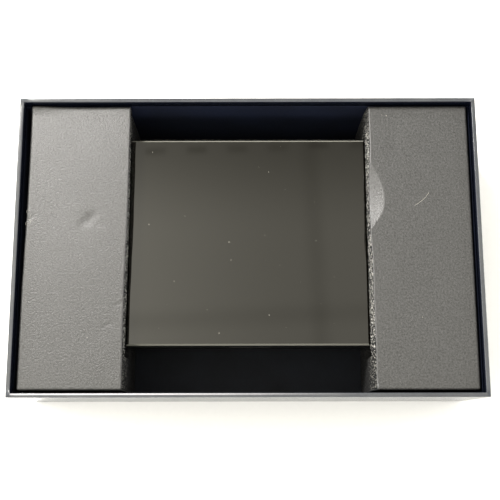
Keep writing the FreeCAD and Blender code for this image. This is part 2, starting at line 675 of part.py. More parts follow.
def save():
    """Check every object and write each sub-part's shape."""
    doc.recompute()
    for item in doc.Objects:
        if "Invalid" in item.State or "Error" in item.State:
            raise RuntimeError(f"{item.Name} failed: {item.State}")
    for item in subparts:
        if item.Shape.isNull() or not item.Shape.isValid():
            raise RuntimeError(f"{item.Label} has no valid shape")
    os.makedirs("parts", exist_ok=True)
    for item in subparts:
        item.Shape.exportStep(f"parts/{item.Label}.step")
        print(item.Label, len(item.Shape.Solids), round(item.Shape.Volume, 1))


build_tray_boards()
build_wraps(build_corner_stays())
build_linings()
build_cradle("left", -1)
build_cradle("right", 1)
build_lower_leaf()
build_upper_leaf()
build_hinges()
save()
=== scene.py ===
import math
import random

import bpy
from bpy.props import FloatProperty, FloatVectorProperty, IntProperty, PointerProperty, StringProperty
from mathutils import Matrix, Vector, noise


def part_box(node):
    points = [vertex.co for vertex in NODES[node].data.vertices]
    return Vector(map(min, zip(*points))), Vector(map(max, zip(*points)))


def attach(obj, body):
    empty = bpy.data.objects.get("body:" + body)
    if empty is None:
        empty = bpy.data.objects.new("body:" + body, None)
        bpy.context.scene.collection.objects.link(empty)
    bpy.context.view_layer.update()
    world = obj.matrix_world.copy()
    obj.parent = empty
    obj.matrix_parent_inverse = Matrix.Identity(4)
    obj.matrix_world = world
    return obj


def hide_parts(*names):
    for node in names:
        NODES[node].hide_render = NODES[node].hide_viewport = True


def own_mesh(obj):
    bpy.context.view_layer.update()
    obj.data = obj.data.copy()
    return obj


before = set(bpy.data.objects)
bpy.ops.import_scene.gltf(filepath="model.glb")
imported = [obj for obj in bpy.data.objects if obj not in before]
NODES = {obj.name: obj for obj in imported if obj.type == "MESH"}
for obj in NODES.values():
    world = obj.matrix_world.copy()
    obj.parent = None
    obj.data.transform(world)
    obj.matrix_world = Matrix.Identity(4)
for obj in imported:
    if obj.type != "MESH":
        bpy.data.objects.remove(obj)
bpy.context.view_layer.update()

bl_info = {
    "name": "Glass Negative Carrier in its Tray",
    "version": (1, 0, 0),
    "blender": (4, 5, 0),
    "location": "3D View > Sidebar > Carrier",
    "description": "Builds a glass negative carrier held by foam cradles in a wrapped tray",
    "category": "Add Mesh",
}

MM = 0.001


# Sizes read from the frame ------------------------------------------------

TRAY_HALF_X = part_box("base_wrap")[1].x
TRAY_HALF_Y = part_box("base_wrap")[1].y
RIM_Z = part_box("front_wrap")[1].z
FRONT_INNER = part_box("front_wrap")[1].y
RIGHT_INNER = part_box("right_wrap")[0].x
CLEAR_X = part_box("floor_lining")[1].x
CLEAR_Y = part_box("floor_lining")[1].y
FLOOR_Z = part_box("floor_lining")[1].z
BASE_SHEET_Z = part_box("base_wrap")[1].z
FOLD_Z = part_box("front_lining")[1].z
CRADLE_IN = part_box("right_cradle_facing")[0].x
CRADLE_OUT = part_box("right_cradle_facing")[1].x
CRADLE_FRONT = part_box("right_cradle_facing")[0].y
CRADLE_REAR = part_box("right_cradle_facing")[1].y
CRADLE_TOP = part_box("right_cradle_facing")[1].z
FACING_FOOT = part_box("right_cradle_facing")[0].z
FACING_PAPER = CRADLE_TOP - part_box("right_cradle_top_foam")[1].z
POCKET_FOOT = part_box("right_cradle_base_foam")[1].z
POCKET_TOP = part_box("right_cradle_top_foam")[0].z
COVER_LOW, COVER_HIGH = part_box("cover_glass")
CARRIER_LOW, CARRIER_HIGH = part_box("lower_frame")


def srgb(hex_colour):
    """A linear RGBA colour from an sRGB hex value."""
    channels = [int(hex_colour[i:i + 2], 16) / 255 for i in (1, 3, 5)]
    linear = [c / 12.92 if c <= 0.04045 else ((c + 0.055) / 1.055) ** 2.4 for c in channels]
    return (*linear, 1.0)


# Settings -----------------------------------------------------------------

class TraySettings(bpy.types.PropertyGroup):
    """The wrapped board tray."""

    wrap_hex: StringProperty(name="Wrap", description="sRGB colour of the outer wrap", default="#171B27")
    # The worn edge colour is partly real wear and partly a painted highlight on the rim's folds.
    worn_and_sheen_hex: StringProperty(name="Worn edge", description="sRGB, the rubbed folds", default="#6E706F")
    # The paper core colour is a painted highlight along the front fold's inner edge.
    highlight_line_hex: StringProperty(name="Paper core", description="sRGB, the bared core", default="#B9B7BC")
    lining_hex: StringProperty(name="Lining", description="sRGB colour of the wall lining", default="#0B1224")
    # The floor's lining is the same paper as the walls', given a lighter, greyer colour as painted light on
    # the floor.
    floor_lining_hex: StringProperty(
        name="Floor lining", description="sRGB colour of the floor's lining", default="#11141B",
    )
    fold_radius: FloatProperty(
        name="Fold radius", description="Radius of the wrap where it folds over the rim",
        default=0.5 * MM, min=0.0, unit="LENGTH",
    )
    waviness: FloatProperty(
        name="Waviness", description="How far the glued paper wanders off flat",
        default=0.06 * MM, min=0.0, unit="LENGTH",
    )


class CradleSettings(bpy.types.PropertyGroup):
    """The foam cradles and their facing papers."""

    facing_hex: StringProperty(name="Facing", description="sRGB, the facing paper", default="#363636")
    foam_hex: StringProperty(name="Foam", description="sRGB colour of the foam", default="#1B1B1B")
    cell: FloatProperty(
        name="Cell", description="Width of a foam cell", default=0.95 * MM, min=0.1 * MM, unit="LENGTH",
    )
    cell_depth: FloatProperty(
        name="Cell depth", description="Depth of a cell that the cut opened",
        default=0.38 * MM, min=0.0, unit="LENGTH",
    )
    mesh_step: FloatProperty(
        name="Mesh step", description="Spacing of the mesh on the cut faces",
        default=0.5 * MM, min=0.2 * MM, unit="LENGTH",
    )
    fold_radius: FloatProperty(
        name="Fold radius", description="Outer radius of the facing's folds", default=1.2 * MM, unit="LENGTH",
    )


class CarrierSettings(bpy.types.PropertyGroup):
    """The carrier's finishes."""

    glass_hex: StringProperty(name="Cover glass", description="sRGB colour of the glass", default="#0D0C08")
    # The ground edge colour is partly the frosted finish and partly a painted highlight.
    arris_and_highlight_hex: StringProperty(name="Ground edge", description="sRGB colour of the edge", default="#8C8C84")
    metal_hex: StringProperty(name="Frames", description="sRGB colour of the frames", default="#1C1D1E")
    dust_seed: IntProperty(name="Dust seed", description="Seed of the loose dust", default=7)
    hair_count: IntProperty(
        name="Hairs", description="Number of short hairs caught by the left facing", default=9, min=0,
    )
    dust_count: IntProperty(name="Dust", description="Number of loose dust grains", default=34, min=0)


class StageSettings(bpy.types.PropertyGroup):
    """The floor, the lights and the camera."""

    floor_hex: StringProperty(name="Floor", description="sRGB colour of the floor", default="#F9F9F8")
    panel_height: FloatProperty(
        name="Panel height", description="Height of the overhead diffuser", default=1.5, unit="LENGTH",
    )
    panel_light: FloatProperty(name="Panel", description="Radiance of the diffuser", default=2.1, min=0.0)
    world_light: FloatProperty(name="Room", description="Radiance of the room", default=0.45, min=0.0)
    key_power: FloatProperty(name="Key", description="Watts of the left key light", default=80.0, min=0.0)
    card_power: FloatProperty(name="Cards", description="Watts of a low side card", default=12.0, min=0.0)
    strip_power: FloatProperty(name="Strip", description="Watts of the rear strip", default=8.0, min=0.0)
    lens: FloatProperty(name="Lens", description="Millimetres, on a 36 mm frame", default=64.15)
    camera_place: FloatVectorProperty(
        name="Camera", description="Where the camera stands", default=(0.0, -0.1019, 0.5523),
        subtype="TRANSLATION", unit="LENGTH",
    )
    camera_tilt: FloatProperty(
        name="Tilt", description="From straight down towards the rear", default=math.radians(11.45),
        unit="ROTATION",
    )
    camera_roll: FloatProperty(
        name="Roll", description="About the line of sight", default=math.radians(-0.1), unit="ROTATION",
    )


# Node trees ---------------------------------------------------------------

def add(tree, kind, settings=None, inputs=None):
    """Add a node, set its properties, and give each input a value or link it to a socket."""
    node = tree.nodes.new(kind)
    for name, value in (settings or {}).items():
        setattr(node, name, value)
    for name, value in (inputs or {}).items():
        if isinstance(value, bpy.types.NodeSocket):
            tree.links.new(value, node.inputs[name])
        else:
            node.inputs[name].default_value = value
    return node


def start_material(name, base, roughness, **settings):
    """A new material whose one Principled shader holds the constant values."""
    material = bpy.data.materials.new(name)
    material.use_nodes = True
    tree = material.node_tree
    shader = tree.nodes["Principled BSDF"]
    shader.inputs["Base Color"].default_value = srgb(base)
    shader.inputs["Roughness"].default_value = roughness
    for key, value in settings.items():
        shader.inputs[key.replace("_", " ")].default_value = value
    return material, tree, shader


def place(tree):
    """The object's own coordinates, in metres."""
    return add(tree, "ShaderNodeTexCoord").outputs["Object"]


def apart(tree, vector):
    """A vector's X, Y and Z outputs."""
    return add(tree, "ShaderNodeSeparateXYZ", inputs={"Vector": vector}).outputs


def link(tree, source, shader, name):
    """Feed a shader's input from a node's output."""
    tree.links.new(source, shader.inputs[name])


def colour_ramp(tree, factor, stops):
    """A ramp from a factor through (position, linear colour) stops."""
    ramp = add(tree, "ShaderNodeValToRGB", inputs={"Fac": factor})
    elements = ramp.color_ramp.elements
    while len(elements) < len(stops):
        elements.new(0.5)
    for element, (position, colour) in zip(elements, stops):
        element.position = position
        element.color = colour
    return ramp.outputs["Color"]


def shade(colour, factor):
    """A linear colour made lighter or darker."""
    return (*(min(1.0, c * factor) for c in colour[:3]), 1.0)


def grey(value):
    """A linear grey."""
    return (value, value, value, 1.0)


def bump(tree, height, distance, strength=1.0, normal=None):
    """A bump whose height of 1 is a real distance in metres."""
    inputs = {"Height": height, "Distance": distance, "Strength": strength}
    if normal is not None:
        inputs["Normal"] = normal
    return add(tree, "ShaderNodeBump", inputs=inputs).outputs["Normal"]


def noise_field(tree, where, size, detail=3.0, rough=0.55):
    """Noise whose features are about a real size across, in metres."""
    return add(
        tree, "ShaderNodeTexNoise",
        inputs={"Vector": where, "Scale": 1 / size, "Detail": detail, "Roughness": rough},
    ).outputs["Fac"]


def slope(tree, value, start, end, low=0.0, high=1.0):
    """A straight change from low to high as the value goes from start to end, held beyond them."""
    limits = {"From Min": start, "From Max": end, "To Min": low, "To Max": high}
    return add(tree, "ShaderNodeMapRange", inputs={"Value": value, **limits}).outputs["Result"]


def ease(tree, value, start, end, low=0.0, high=1.0):
    """The same change, made smoothly."""
    result = slope(tree, value, start, end, low, high)
    result.node.interpolation_type = "SMOOTHSTEP"
    return result


def blend_number(tree, factor, low, high):
    """A number from low to high as the factor goes from 0 to 1."""
    return slope(tree, factor, 0.0, 1.0, low, high)


def maths(tree, operation, first, second=0.0):
    """One sum of two numbers or sockets."""
    node = add(tree, "ShaderNodeMath", {"operation": operation})
    for socket, value in zip(node.inputs, (first, second)):
        if isinstance(value, bpy.types.NodeSocket):
            tree.links.new(value, socket)
        else:
            socket.default_value = value
    return node.outputs[0]


def times(tree, first, *others):
    """The product of several numbers or sockets."""
    for other in others:
        first = maths(tree, "MULTIPLY", first, other)
    return first


def blend_colour(tree, factor, first, second, blend="MIX"):
    """A blend of two colours, each a socket or a linear colour."""
    node = add(tree, "ShaderNodeMix", {"data_type": "RGBA", "blend_type": blend})
    colour_inputs = [socket for socket in node.inputs if socket.type == "RGBA"]
    for socket, value in zip([node.inputs["Factor"], *colour_inputs], (factor, first, second)):
        if isinstance(value, bpy.types.NodeSocket):
            tree.links.new(value, socket)
        else:
            socket.default_value = value
    return next(socket for socket in node.outputs if socket.type == "RGBA")


# Materials ----------------------------------------------------------------

def wrap_paper(settings):
    """Coated art paper, dyed navy and glued over board: a low satin sheen. Its folds are paler, partly from
    wear and partly as a painted highlight, and the front fold carries a painted highlight line.
    """
    material, tree, shader = start_material("navy_coated_art_paper", settings.wrap_hex, 0.42, IOR=1.48)
    where = place(tree)
    x, y, z = apart(tree, where)
    at_fold = ease(tree, z, RIM_Z - 0.5 * MM, RIM_Z - 0.05 * MM)
    # The pale on the folds, partly wear and partly painted highlight, comes and goes over 20 mm, broken up by
    # fibres drawn 0.8 mm wide so that they show.
    patches = noise_field(tree, where, 20 * MM)
    fibres = noise_field(tree, where, 0.8 * MM, detail=4.0)
    rub_and_sheen = times(tree, at_fold, blend_number(tree, patches, 0.1, 0.5), blend_number(tree, fibres, 0.6, 1.15))
    # A painted highlight: the front fold's inner half is painted in the pale core colour as a bright line,
    # most of all towards the left.
    inner_half = ease(tree, y, FRONT_INNER - 1.1 * MM, FRONT_INNER - 0.8 * MM)
    short_of_edge = ease(tree, y, FRONT_INNER, FRONT_INNER - 0.3 * MM)
    off_corner = ease(tree, maths(tree, "ABSOLUTE", x), RIGHT_INNER + 0.5 * MM, RIGHT_INNER - 1 * MM)
    brighter_to_left = ease(tree, x, 75 * MM, -75 * MM)
    painted_highlight_line = times(
        tree, inner_half, short_of_edge, off_corner, brighter_to_left,
        blend_number(tree, fibres, 0.6, 0.95), at_fold,
    )
    navy = srgb(settings.wrap_hex)
    mottled = colour_ramp(tree, fibres, [(0.3, shade(navy, 0.8)), (0.7, shade(navy, 1.25))])
    # The folds are blended towards the worn edge colour: partly wear, partly painted highlight.
    brightened = blend_colour(tree, rub_and_sheen, mottled, srgb(settings.worn_and_sheen_hex))
    # Painted highlight: the front fold's inner half takes the pale core colour.
    link(tree, blend_colour(tree, painted_highlight_line, brightened, srgb(settings.highlight_line_hex)), shader, "Base Color")
    link(tree, blend_number(tree, fibres, 0.12, 0.24), shader, "Roughness")
    link(tree, bump(tree, fibres, 0.02 * MM), shader, "Normal")
    return material


def lining_paper(name, hex_colour):
    """Uncoated navy paper, brushed with glue from behind: dull, and faintly cockled."""
    material, tree, shader = start_material(name, hex_colour, 0.8, IOR=1.33)
    where = place(tree)
    fibres = noise_field(tree, where, 0.9 * MM, detail=4.0)
    clouds = noise_field(tree, where, 25 * MM)
    navy = srgb(hex_colour)
    colour = colour_ramp(tree, clouds, [(0.3, shade(navy, 0.8)), (0.7, shade(navy, 1.3))])
    link(tree, colour, shader, "Base Color")
    link(tree, blend_number(tree, fibres, 0.7, 0.9), shader, "Roughness")
    cockle = bump(tree, clouds, 0.25 * MM)
    link(tree, bump(tree, fibres, 0.03 * MM, normal=cockle), shader, "Normal")
    return material


def facing_paper(settings):
    """Charcoal art paper with a leathery calendered grain: a soft sheen over a fine dull grain."""
    material, tree, shader = start_material("charcoal_calendered_paper", settings.facing_hex, 0.46, IOR=1.5)
    where = place(tree)
    # The grain is about 0.3 mm across, drawn 1 mm wide so that it shows.
    grain = noise_field(tree, where, 1.0 * MM, detail=4.0, rough=0.65)
    clouds = noise_field(tree, where, 14 * MM)
    body = srgb(settings.facing_hex)
    fine = colour_ramp(tree, grain, [(0.33, shade(body, 0.5)), (0.67, shade(body, 1.58))])
    wide = colour_ramp(tree, clouds, [(0.3, grey(0.92)), (0.7, grey(1.0))])
    link(tree, blend_colour(tree, 1.0, fine, wide, "MULTIPLY"), shader, "Base Color")
    link(tree, blend_number(tree, grain, 0.29, 0.47), shader, "Roughness")
    link(tree, bump(tree, grain, 0.22 * MM), shader, "Normal")
    return material


def cut_foam(settings):
    """Black polyethylene foam, knife cut: opened cells with painted glints on their thin walls, and the cells
    between painted darker, as shade in the pits.
    """
    material, tree, shader = start_material("black_polyethylene_foam", settings.foam_hex, 0.6, IOR=1.5)
    where = place(tree)
    black = srgb(settings.foam_hex)
    skin = 0.62 * settings.cell
    # The knife drags each opened cell down the cut, to more than twice its width.
    dragged = add(
        tree, "ShaderNodeMapping", inputs={"Vector": where, "Scale": (1.0, 1.0, 0.4)},
    ).outputs["Vector"]

    def cells(feature, output):
        """The opened cells, by one of their measures."""
        inputs = {"Vector": dragged, "Scale": 1 / skin}
        return add(tree, "ShaderNodeTexVoronoi", {"feature": feature}, inputs).outputs[output]

    walls = ease(tree, cells("DISTANCE_TO_EDGE", "Distance"), 0.26, 0.02)
    painted_glint = slope(tree, apart(tree, cells("F1", "Color"))["X"], 0.6, 0.84)
    # Painted light: the glints are made bright near the top, where light falls on the cut face, and dull
    # lower down, where shade falls. They are also dimmer away from the carrier's ends.
    along = apart(tree, where)
    brightened = slope(tree, along["Z"], 22 * MM, CRADLE_TOP - 2 * MM, 0.1, 1.0)
    middle = (CARRIER_LOW.y + CARRIER_HIGH.y) / 2
    reach = (CARRIER_HIGH.y - CARRIER_LOW.y) / 2
    from_middle = maths(tree, "ABSOLUTE", maths(tree, "SUBTRACT", along["Y"], middle))
    painted_light_near_carrier = slope(tree, from_middle, reach + 9 * MM, reach - 2 * MM, 0.55, 1.0)
    lit = times(tree, blend_number(tree, walls, 0.7, 1.0), painted_glint, times(tree, brightened, painted_light_near_carrier))
    # Painted glints: the pale colours of the lit cell walls.
    glint_colours = [(0.45, srgb("#96948D")), (0.8, srgb("#E8E6DE"))]
    colour = colour_ramp(tree, lit, [(0.0, shade(black, 0.35)), (0.2, shade(black, 2.0)), *glint_colours])
    link(tree, colour, shader, "Base Color")
    link(tree, blend_number(tree, lit, 0.75, 0.22), shader, "Roughness")
    link(tree, bump(tree, walls, 0.5 * MM), shader, "Normal")
    return material


def dark_glass(settings):
    """Float glass, tinted near black and polished: a clear mirror above, and a ground, frosted edge whose
    pale colour is partly a painted highlight.
    """
    material, tree, shader = start_material("polished_dark_glass", settings.glass_hex, 0.04, IOR=1.52)
    coordinates = add(tree, "ShaderNodeTexCoord")
    where = coordinates.outputs["Object"]
    facing = apart(tree, coordinates.outputs["Normal"])
    # The front and rear chamfers are left as ground, and their pale colour is partly a painted highlight. The
    # ends, which slide in the cradles, are polished.
    off_top = slope(tree, facing["Z"], 0.95, 0.9)
    ground = times(tree, off_top, maths(tree, "ABSOLUTE", facing["Y"]))
    # Wiping leaves faint veils about 30 mm wide.
    veil = noise_field(tree, where, 30 * MM, detail=2.0)
    wiped = blend_number(tree, veil, 0.02, 0.075)
    rough = add(tree, "ShaderNodeMix", inputs={"Factor": ground, "A": wiped, "B": 0.55})
    # The ground chamfers take the pale arris colour: partly the ground finish, partly a painted highlight.
    colour = blend_colour(tree, ground, srgb(settings.glass_hex), srgb(settings.arris_and_highlight_hex))
    link(tree, colour, shader, "Base Color")
    link(tree, rough.outputs["Result"], shader, "Roughness")
    # Float glass is flat to a few microns over 25 mm, which bends a mirrored edge a little.
    link(tree, bump(tree, noise_field(tree, where, 25 * MM, detail=1.0), 0.01 * MM), shader, "Normal")
    return material


def blasted_anodised(settings):
    """Aluminium, milled, bead blasted and anodised black: fine matt grain with a faintly clouded colour."""
    material, tree, shader = start_material(
        "black_anodised_aluminium", settings.metal_hex, 0.5, Metallic=0.35,
    )
    where = place(tree)
    beads = noise_field(tree, where, 0.35 * MM, detail=2.0)
    clouds = noise_field(tree, where, 18 * MM)
    black = srgb(settings.metal_hex)
    colour = colour_ramp(tree, clouds, [(0.3, shade(black, 0.85)), (0.7, shade(black, 1.3))])
    link(tree, colour, shader, "Base Color")
    link(tree, blend_number(tree, beads, 0.42, 0.6), shader, "Roughness")
    link(tree, bump(tree, beads, 0.02 * MM), shader, "Normal")
    return material


def clear_pane():
    """Float glass, clear and polished: sharp reflections and a faint green body."""
    material, tree, shader = start_material(
        "clear_float_glass", "#EEF6F2", 0.0, IOR=1.52, Transmission_Weight=1.0,
    )
    veil = noise_field(tree, place(tree), 20 * MM, detail=2.0)
    link(tree, blend_number(tree, veil, 0.0, 0.05), shader, "Roughness")
    return material


def grained(name, hex_colour, roughness, grain, depth, spread=0.2, **settings):
    """A plain finish whose grain varies its colour, roughness and height at a real size."""
    material, tree, shader = start_material(name, hex_colour, roughness, **settings)
    field = noise_field(tree, place(tree), grain, detail=4.0)
    body = srgb(hex_colour)
    colour = colour_ramp(tree, field, [(0.3, shade(body, 1 - spread)), (0.7, shade(body, 1 + spread))])
    link(tree, colour, shader, "Base Color")
    link(tree, blend_number(tree, field, roughness * 0.8, min(1.0, roughness * 1.2)), shader, "Roughness")
    link(tree, bump(tree, field, depth), shader, "Normal")
    return material


def turned_steel(name, hex_colour, roughness, axis_scale):
    """Steel with fine machining lines, stretched by the scale along each axis."""
    material, tree, shader = start_material(name, hex_colour, roughness, Metallic=1.0)
    lines = add(
        tree, "ShaderNodeMapping", inputs={"Vector": place(tree), "Scale": axis_scale},
    ).outputs["Vector"]
    field = noise_field(tree, lines, 0.4 * MM, detail=3.0)
    body = srgb(hex_colour)
    colour = colour_ramp(tree, field, [(0.3, shade(body, 0.8)), (0.7, shade(body, 1.1))])
    link(tree, colour, shader, "Base Color")
    link(tree, blend_number(tree, field, roughness * 0.7, roughness * 1.3), shader, "Roughness")
    link(tree, bump(tree, field, 0.01 * MM), shader, "Normal")
    return material


def diffuser(settings):
    """The overhead diffuser: a lit cloth, brighter to the left and front, with seams and a hung rail."""
    material = bpy.data.materials.new("lit_diffuser_cloth")
    material.use_nodes = True
    tree = material.node_tree
    tree.nodes.clear()
    x, y = list(apart(tree, place(tree)))[:2]

    def seam(value, middle, width, depth):
        """A soft dark line across the cloth."""
        away = maths(tree, "ABSOLUTE", maths(tree, "SUBTRACT", value, middle))
        return ease(tree, maths(tree, "DIVIDE", away, width), 0.0, 1.0, 1.0 - depth, 1.0)

    def slanting(main, other, share):
        """One coordinate, turned a little towards the other."""
        return maths(tree, "ADD", main, times(tree, other, share))

    # Places and widths are metres on the cloth, and the rest are shares of its light.
    light = times(tree, ease(tree, x, -0.55, 0.15, 1.75, 0.85), ease(tree, y, 0.32, 0.56, 1.0, 0.52))
    long_seam = seam(slanting(x, y, 0.042), 0.164, 0.035, 0.16)
    cross_seam = seam(slanting(y, x, -0.04), 0.143, 0.035, 0.14)
    # The rail's hangers break it into dashes, 93 mm apart.
    rail = seam(slanting(y, x, -0.035), 0.531, 0.014, 0.4)
    wave = maths(tree, "SINE", times(tree, x, 2 * math.pi / 0.093))
    dashes = ease(tree, wave, -0.3, 0.3)
    rail = maths(tree, "ADD", rail, times(tree, maths(tree, "SUBTRACT", 1.0, rail), dashes))
    light = times(tree, light, long_seam, cross_seam, rail)
    emission = add(
        tree, "ShaderNodeEmission",
        inputs={"Color": srgb("#FFFAEA"), "Strength": times(tree, light, settings.panel_light)},
    )
    add(tree, "ShaderNodeOutputMaterial", inputs={"Surface": emission.outputs["Emission"]})
    return material


# Meshes -------------------------------------------------------------------

def new_piece(name, verts, faces, material, sharp=math.radians(40)):
    """A smooth-shaded mesh object whose steeper edges stay sharp."""
    mesh = bpy.data.meshes.new(name)
    mesh.from_pydata([tuple(v) for v in verts], [], faces)
    mesh.validate()
    mesh.update()
    mesh.shade_smooth()
    mesh.set_sharp_from_angle(angle=sharp)
    piece = bpy.data.objects.new(name, mesh)
    bpy.context.scene.collection.objects.link(piece)
    mesh.materials.append(material)
    return piece


def settle(piece, body, slot, *nodes):
    """Give a finished piece its body and hide the CAD nodes that it stands for; its material slot is not
    used.
    """
    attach(piece, body)
    if nodes:
        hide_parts(*nodes)
    return piece


def yields_to_leaf(piece, side):
    """The left cradle swells into the upper leaf's path. Its piece gets a mesh of its own."""
    if side < 0:
        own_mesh(piece)


def thicken(piece, thickness):
    """Turn an open sheet into a closed one, grown on the side away from its normals."""
    modifier = piece.modifiers.new("Thickness", "SOLIDIFY")
    modifier.thickness = thickness
    modifier.offset = -1.0
    modifier.use_even_offset = True
    depsgraph = bpy.context.evaluated_depsgraph_get()
    made = bpy.data.meshes.new_from_object(piece.evaluated_get(depsgraph))
    piece.modifiers.clear()
    piece.data = made
    return piece


def spread(low, high, step):
    """Evenly spaced values from low to high, about a step apart."""
    count = max(1, round((high - low) / step))
    return [low + (high - low) * i / count for i in range(count + 1)]


def lines(*spans):
    """Sorted grid lines from several (low, high, step) spans that share their ends."""
    values = [value for span in spans for value in spread(*span)]
    kept = []
    for value in sorted(values):
        if not kept or value - kept[-1] > 0.02 * MM:
            kept.append(value)
    return kept


def grid_surface(xs, ys, zs, is_filled, finish, omit=()):
    """Corners and outward faces of the filled cells of an uneven grid. Finish moves each corner,
    and omit lists (axis, sign) pairs of outer sides that are left open."""
    counts = (len(xs) - 1, len(ys) - 1, len(zs) - 1)
    middles = [[(a + b) / 2 for a, b in zip(values, values[1:])] for values in (xs, ys, zs)]

    def filled(cell):
        if any(index < 0 or index >= count for index, count in zip(cell, counts)):
            return False
        return is_filled is None or is_filled(*(m[i] for m, i in zip(middles, cell)))

    verts, faces, known = [], [], {}

    def corner(key):
        if key not in known:
            known[key] = len(verts)
            verts.append(finish(xs[key[0]], ys[key[1]], zs[key[2]]))
        return known[key]

    for axis in range(3):
        first, second = [a for a in range(3) if a != axis]
        planes = range(counts[axis] + 1) if is_filled else (0, counts[axis])
        for plane in planes:
            for i in range(counts[first]):
                for j in range(counts[second]):
                    cell = [0, 0, 0]
                    cell[first], cell[second] = i, j
                    cell[axis] = plane - 1
                    below = filled(tuple(cell))
                    cell[axis] = plane
                    above = filled(tuple(cell))
                    if below == above:
                        continue
                    sign = 1 if below else -1
                    outer = plane in (0, counts[axis])
                    if outer and (axis, sign) in omit:
                        continue
                    quad = []
                    for a, b in ((0, 0), (1, 0), (1, 1), (0, 1)):
                        key = [0, 0, 0]
                        key[axis], key[first], key[second] = plane, i + a, j + b
                        quad.append(corner(tuple(key)))
                    if (sign > 0) == (axis == 1):
                        quad.reverse()
                    faces.append(quad)
    return verts, faces


def rounded(point, side, inset, radius, top):
    """Move a point of a cradle's block onto its folded edges: the end, front, rear and top ones."""
    x, y, z = point[0] * side, point[1], point[2]
    core_x = min(x, CRADLE_OUT - inset - radius)
    core_y = min(max(y, CRADLE_FRONT + inset + radius), CRADLE_REAR - inset - radius)
    core_z = min(z, top - radius)
    away = Vector((x - core_x, y - core_y, z - core_z))
    if away.length > 0:
        away *= radius / away.length
    return Vector(((core_x + away.x) * side, core_y + away.y, core_z + away.z))


# Relief of the soft pieces --------------------------------------------------

# Where the carrier's corner has pressed the right facing down. Its crease bulges from the inner edge to a
# crown, and falls back in a parabola each way.
PRESSED_CROWN = Vector((77.6, 25.5)) * MM
PRESSED_BULGE = 8.6 * MM
PRESSED_REACH_REAR = 22.4 * MM
PRESSED_REACH_FRONT = 16.6 * MM
PRESSED_SLOPE = 0.28
# How far a glued facing bows off flat.
BOW = 0.16 * MM
# The facing's relief dies away over this depth below the cradle's top.
RELIEF_FADE = 9 * MM

# Dents and creases of the facings: middle, length, width and depth in millimetres, and direction in degrees.
LEFT_DENTS = [
    ((-91.0, 14.4), 11.0, 6.0, 0.34, 40.0),
    ((-86.0, 11.5), 8.0, 4.0, 0.15, -20.0),
    ((-123.6, 15.5), 5.0, 1.0, 0.3, 50.0),
    ((-78.3, -45.3), 8.0, 1.6, 0.12, 25.0),
    ((-71.5, -33.2), 6.0, 1.4, 0.16, 25.0),
]
RIGHT_DENTS = [
    ((83.0, 60.0), 26.0, 9.0, 0.12, 80.0),
    ((104.0, -20.0), 40.0, 12.0, 0.1, 100.0),
]


def pressed_depth(x, y):
    """How far the pressed-down facet lies below the right facing at a place."""
    away = y - PRESSED_CROWN.y
    reach = PRESSED_REACH_REAR if away > 0 else PRESSED_REACH_FRONT
    crease = PRESSED_CROWN.x - PRESSED_BULGE * (away / reach) ** 2
    return max(0.0, crease - x) * PRESSED_SLOPE


def wander_at(x, y, z, spacing):
    """A slow wander between about -1 and 1, the same at every run, whose swells are a spacing apart."""
    return noise.noise(Vector((x, y, z)) / spacing)


def facing_relief(x, y):
    """Height of the facing's face over flat, at a place on the cradle's top."""
    height = BOW * (wander_at(x, y, 3.0, 38 * MM) - 0.5)
    for (mx, my), length, width, depth, turn in LEFT_DENTS if x < 0 else RIGHT_DENTS:
        dx, dy = x - mx * MM, y - my * MM
        cosine, sine = math.cos(math.radians(turn)), math.sin(math.radians(turn))
        along = (dx * cosine + dy * sine) / (length * MM / 2)
        across = (-dx * sine + dy * cosine) / (width * MM / 2)
        height -= depth * MM * math.exp(-along * along - across * across)
    if x > 0:
        height -= pressed_depth(x, y)
    return height


# How far each cradle's soft inner face stands in from its drawn place, from rear to front, in millimetres:
# y, then just over the carrier's cover, then at the cradle's top.
GIVE = {
    -1: [(54, 1.0, 1.7), (22, 1.1, 1.5), (-10, 0.9, 0.9), (-26, 0.8, 0.5), (-50, 0.5, 0.4), (-80, 0.4, 0.4)],
    1: [
        (54, 0.5, -0.6), (38, 0.5, 0.2), (22, 0.5, 0.4), (8, 0.5, 0.3),
        (-10, 0.5, -0.5), (-58, 0.5, -0.8), (-80, 0.4, -0.8),
    ],
}
# The swell at which the foam just bears on the carrier's end, in millimetres.
TOUCH = 0.45


def mix(low, high, share):
    """A value between two others, held at the ends."""
    share = min(1.0, max(0.0, share))
    return low + (high - low) * share


def give(x, y, z, side):
    """Sideways give of a cradle's foam: it swells against the carrier and rests on its cover's edge."""
    rows = GIVE[side]
    over, top = rows[0][1:] if y > rows[0][0] * MM else rows[-1][1:]
    for (y0, *first), (y1, *second) in zip(rows, rows[1:]):
        if y1 * MM <= y <= y0 * MM:
            share = (y0 * MM - y) / ((y0 - y1) * MM)
            over, top = (mix(a, b, share * share * (3 - 2 * share)) for a, b in zip(first, second))
    touch = min(TOUCH, over)
    if z < COVER_HIGH.z:
        amount = mix(0.0, touch, (z - FLOOR_Z) / (10 * MM))
    else:
        amount = mix(touch, over, (z - COVER_HIGH.z) / (0.6 * MM))
        amount = mix(amount, top, (z - COVER_HIGH.z - 1.5 * MM) / (CRADLE_TOP - COVER_HIGH.z - 1.5 * MM))
    # The left cradle sits a little askew, so its outer end moves too. The right one only gives inside.
    outer_share = 1.0 if side < 0 else 0.0
    share = mix(outer_share, 1.0, (CRADLE_OUT - 2 * MM - abs(x)) / (CRADLE_OUT - 2 * MM - CRADLE_IN))
    return -side * amount * MM * share


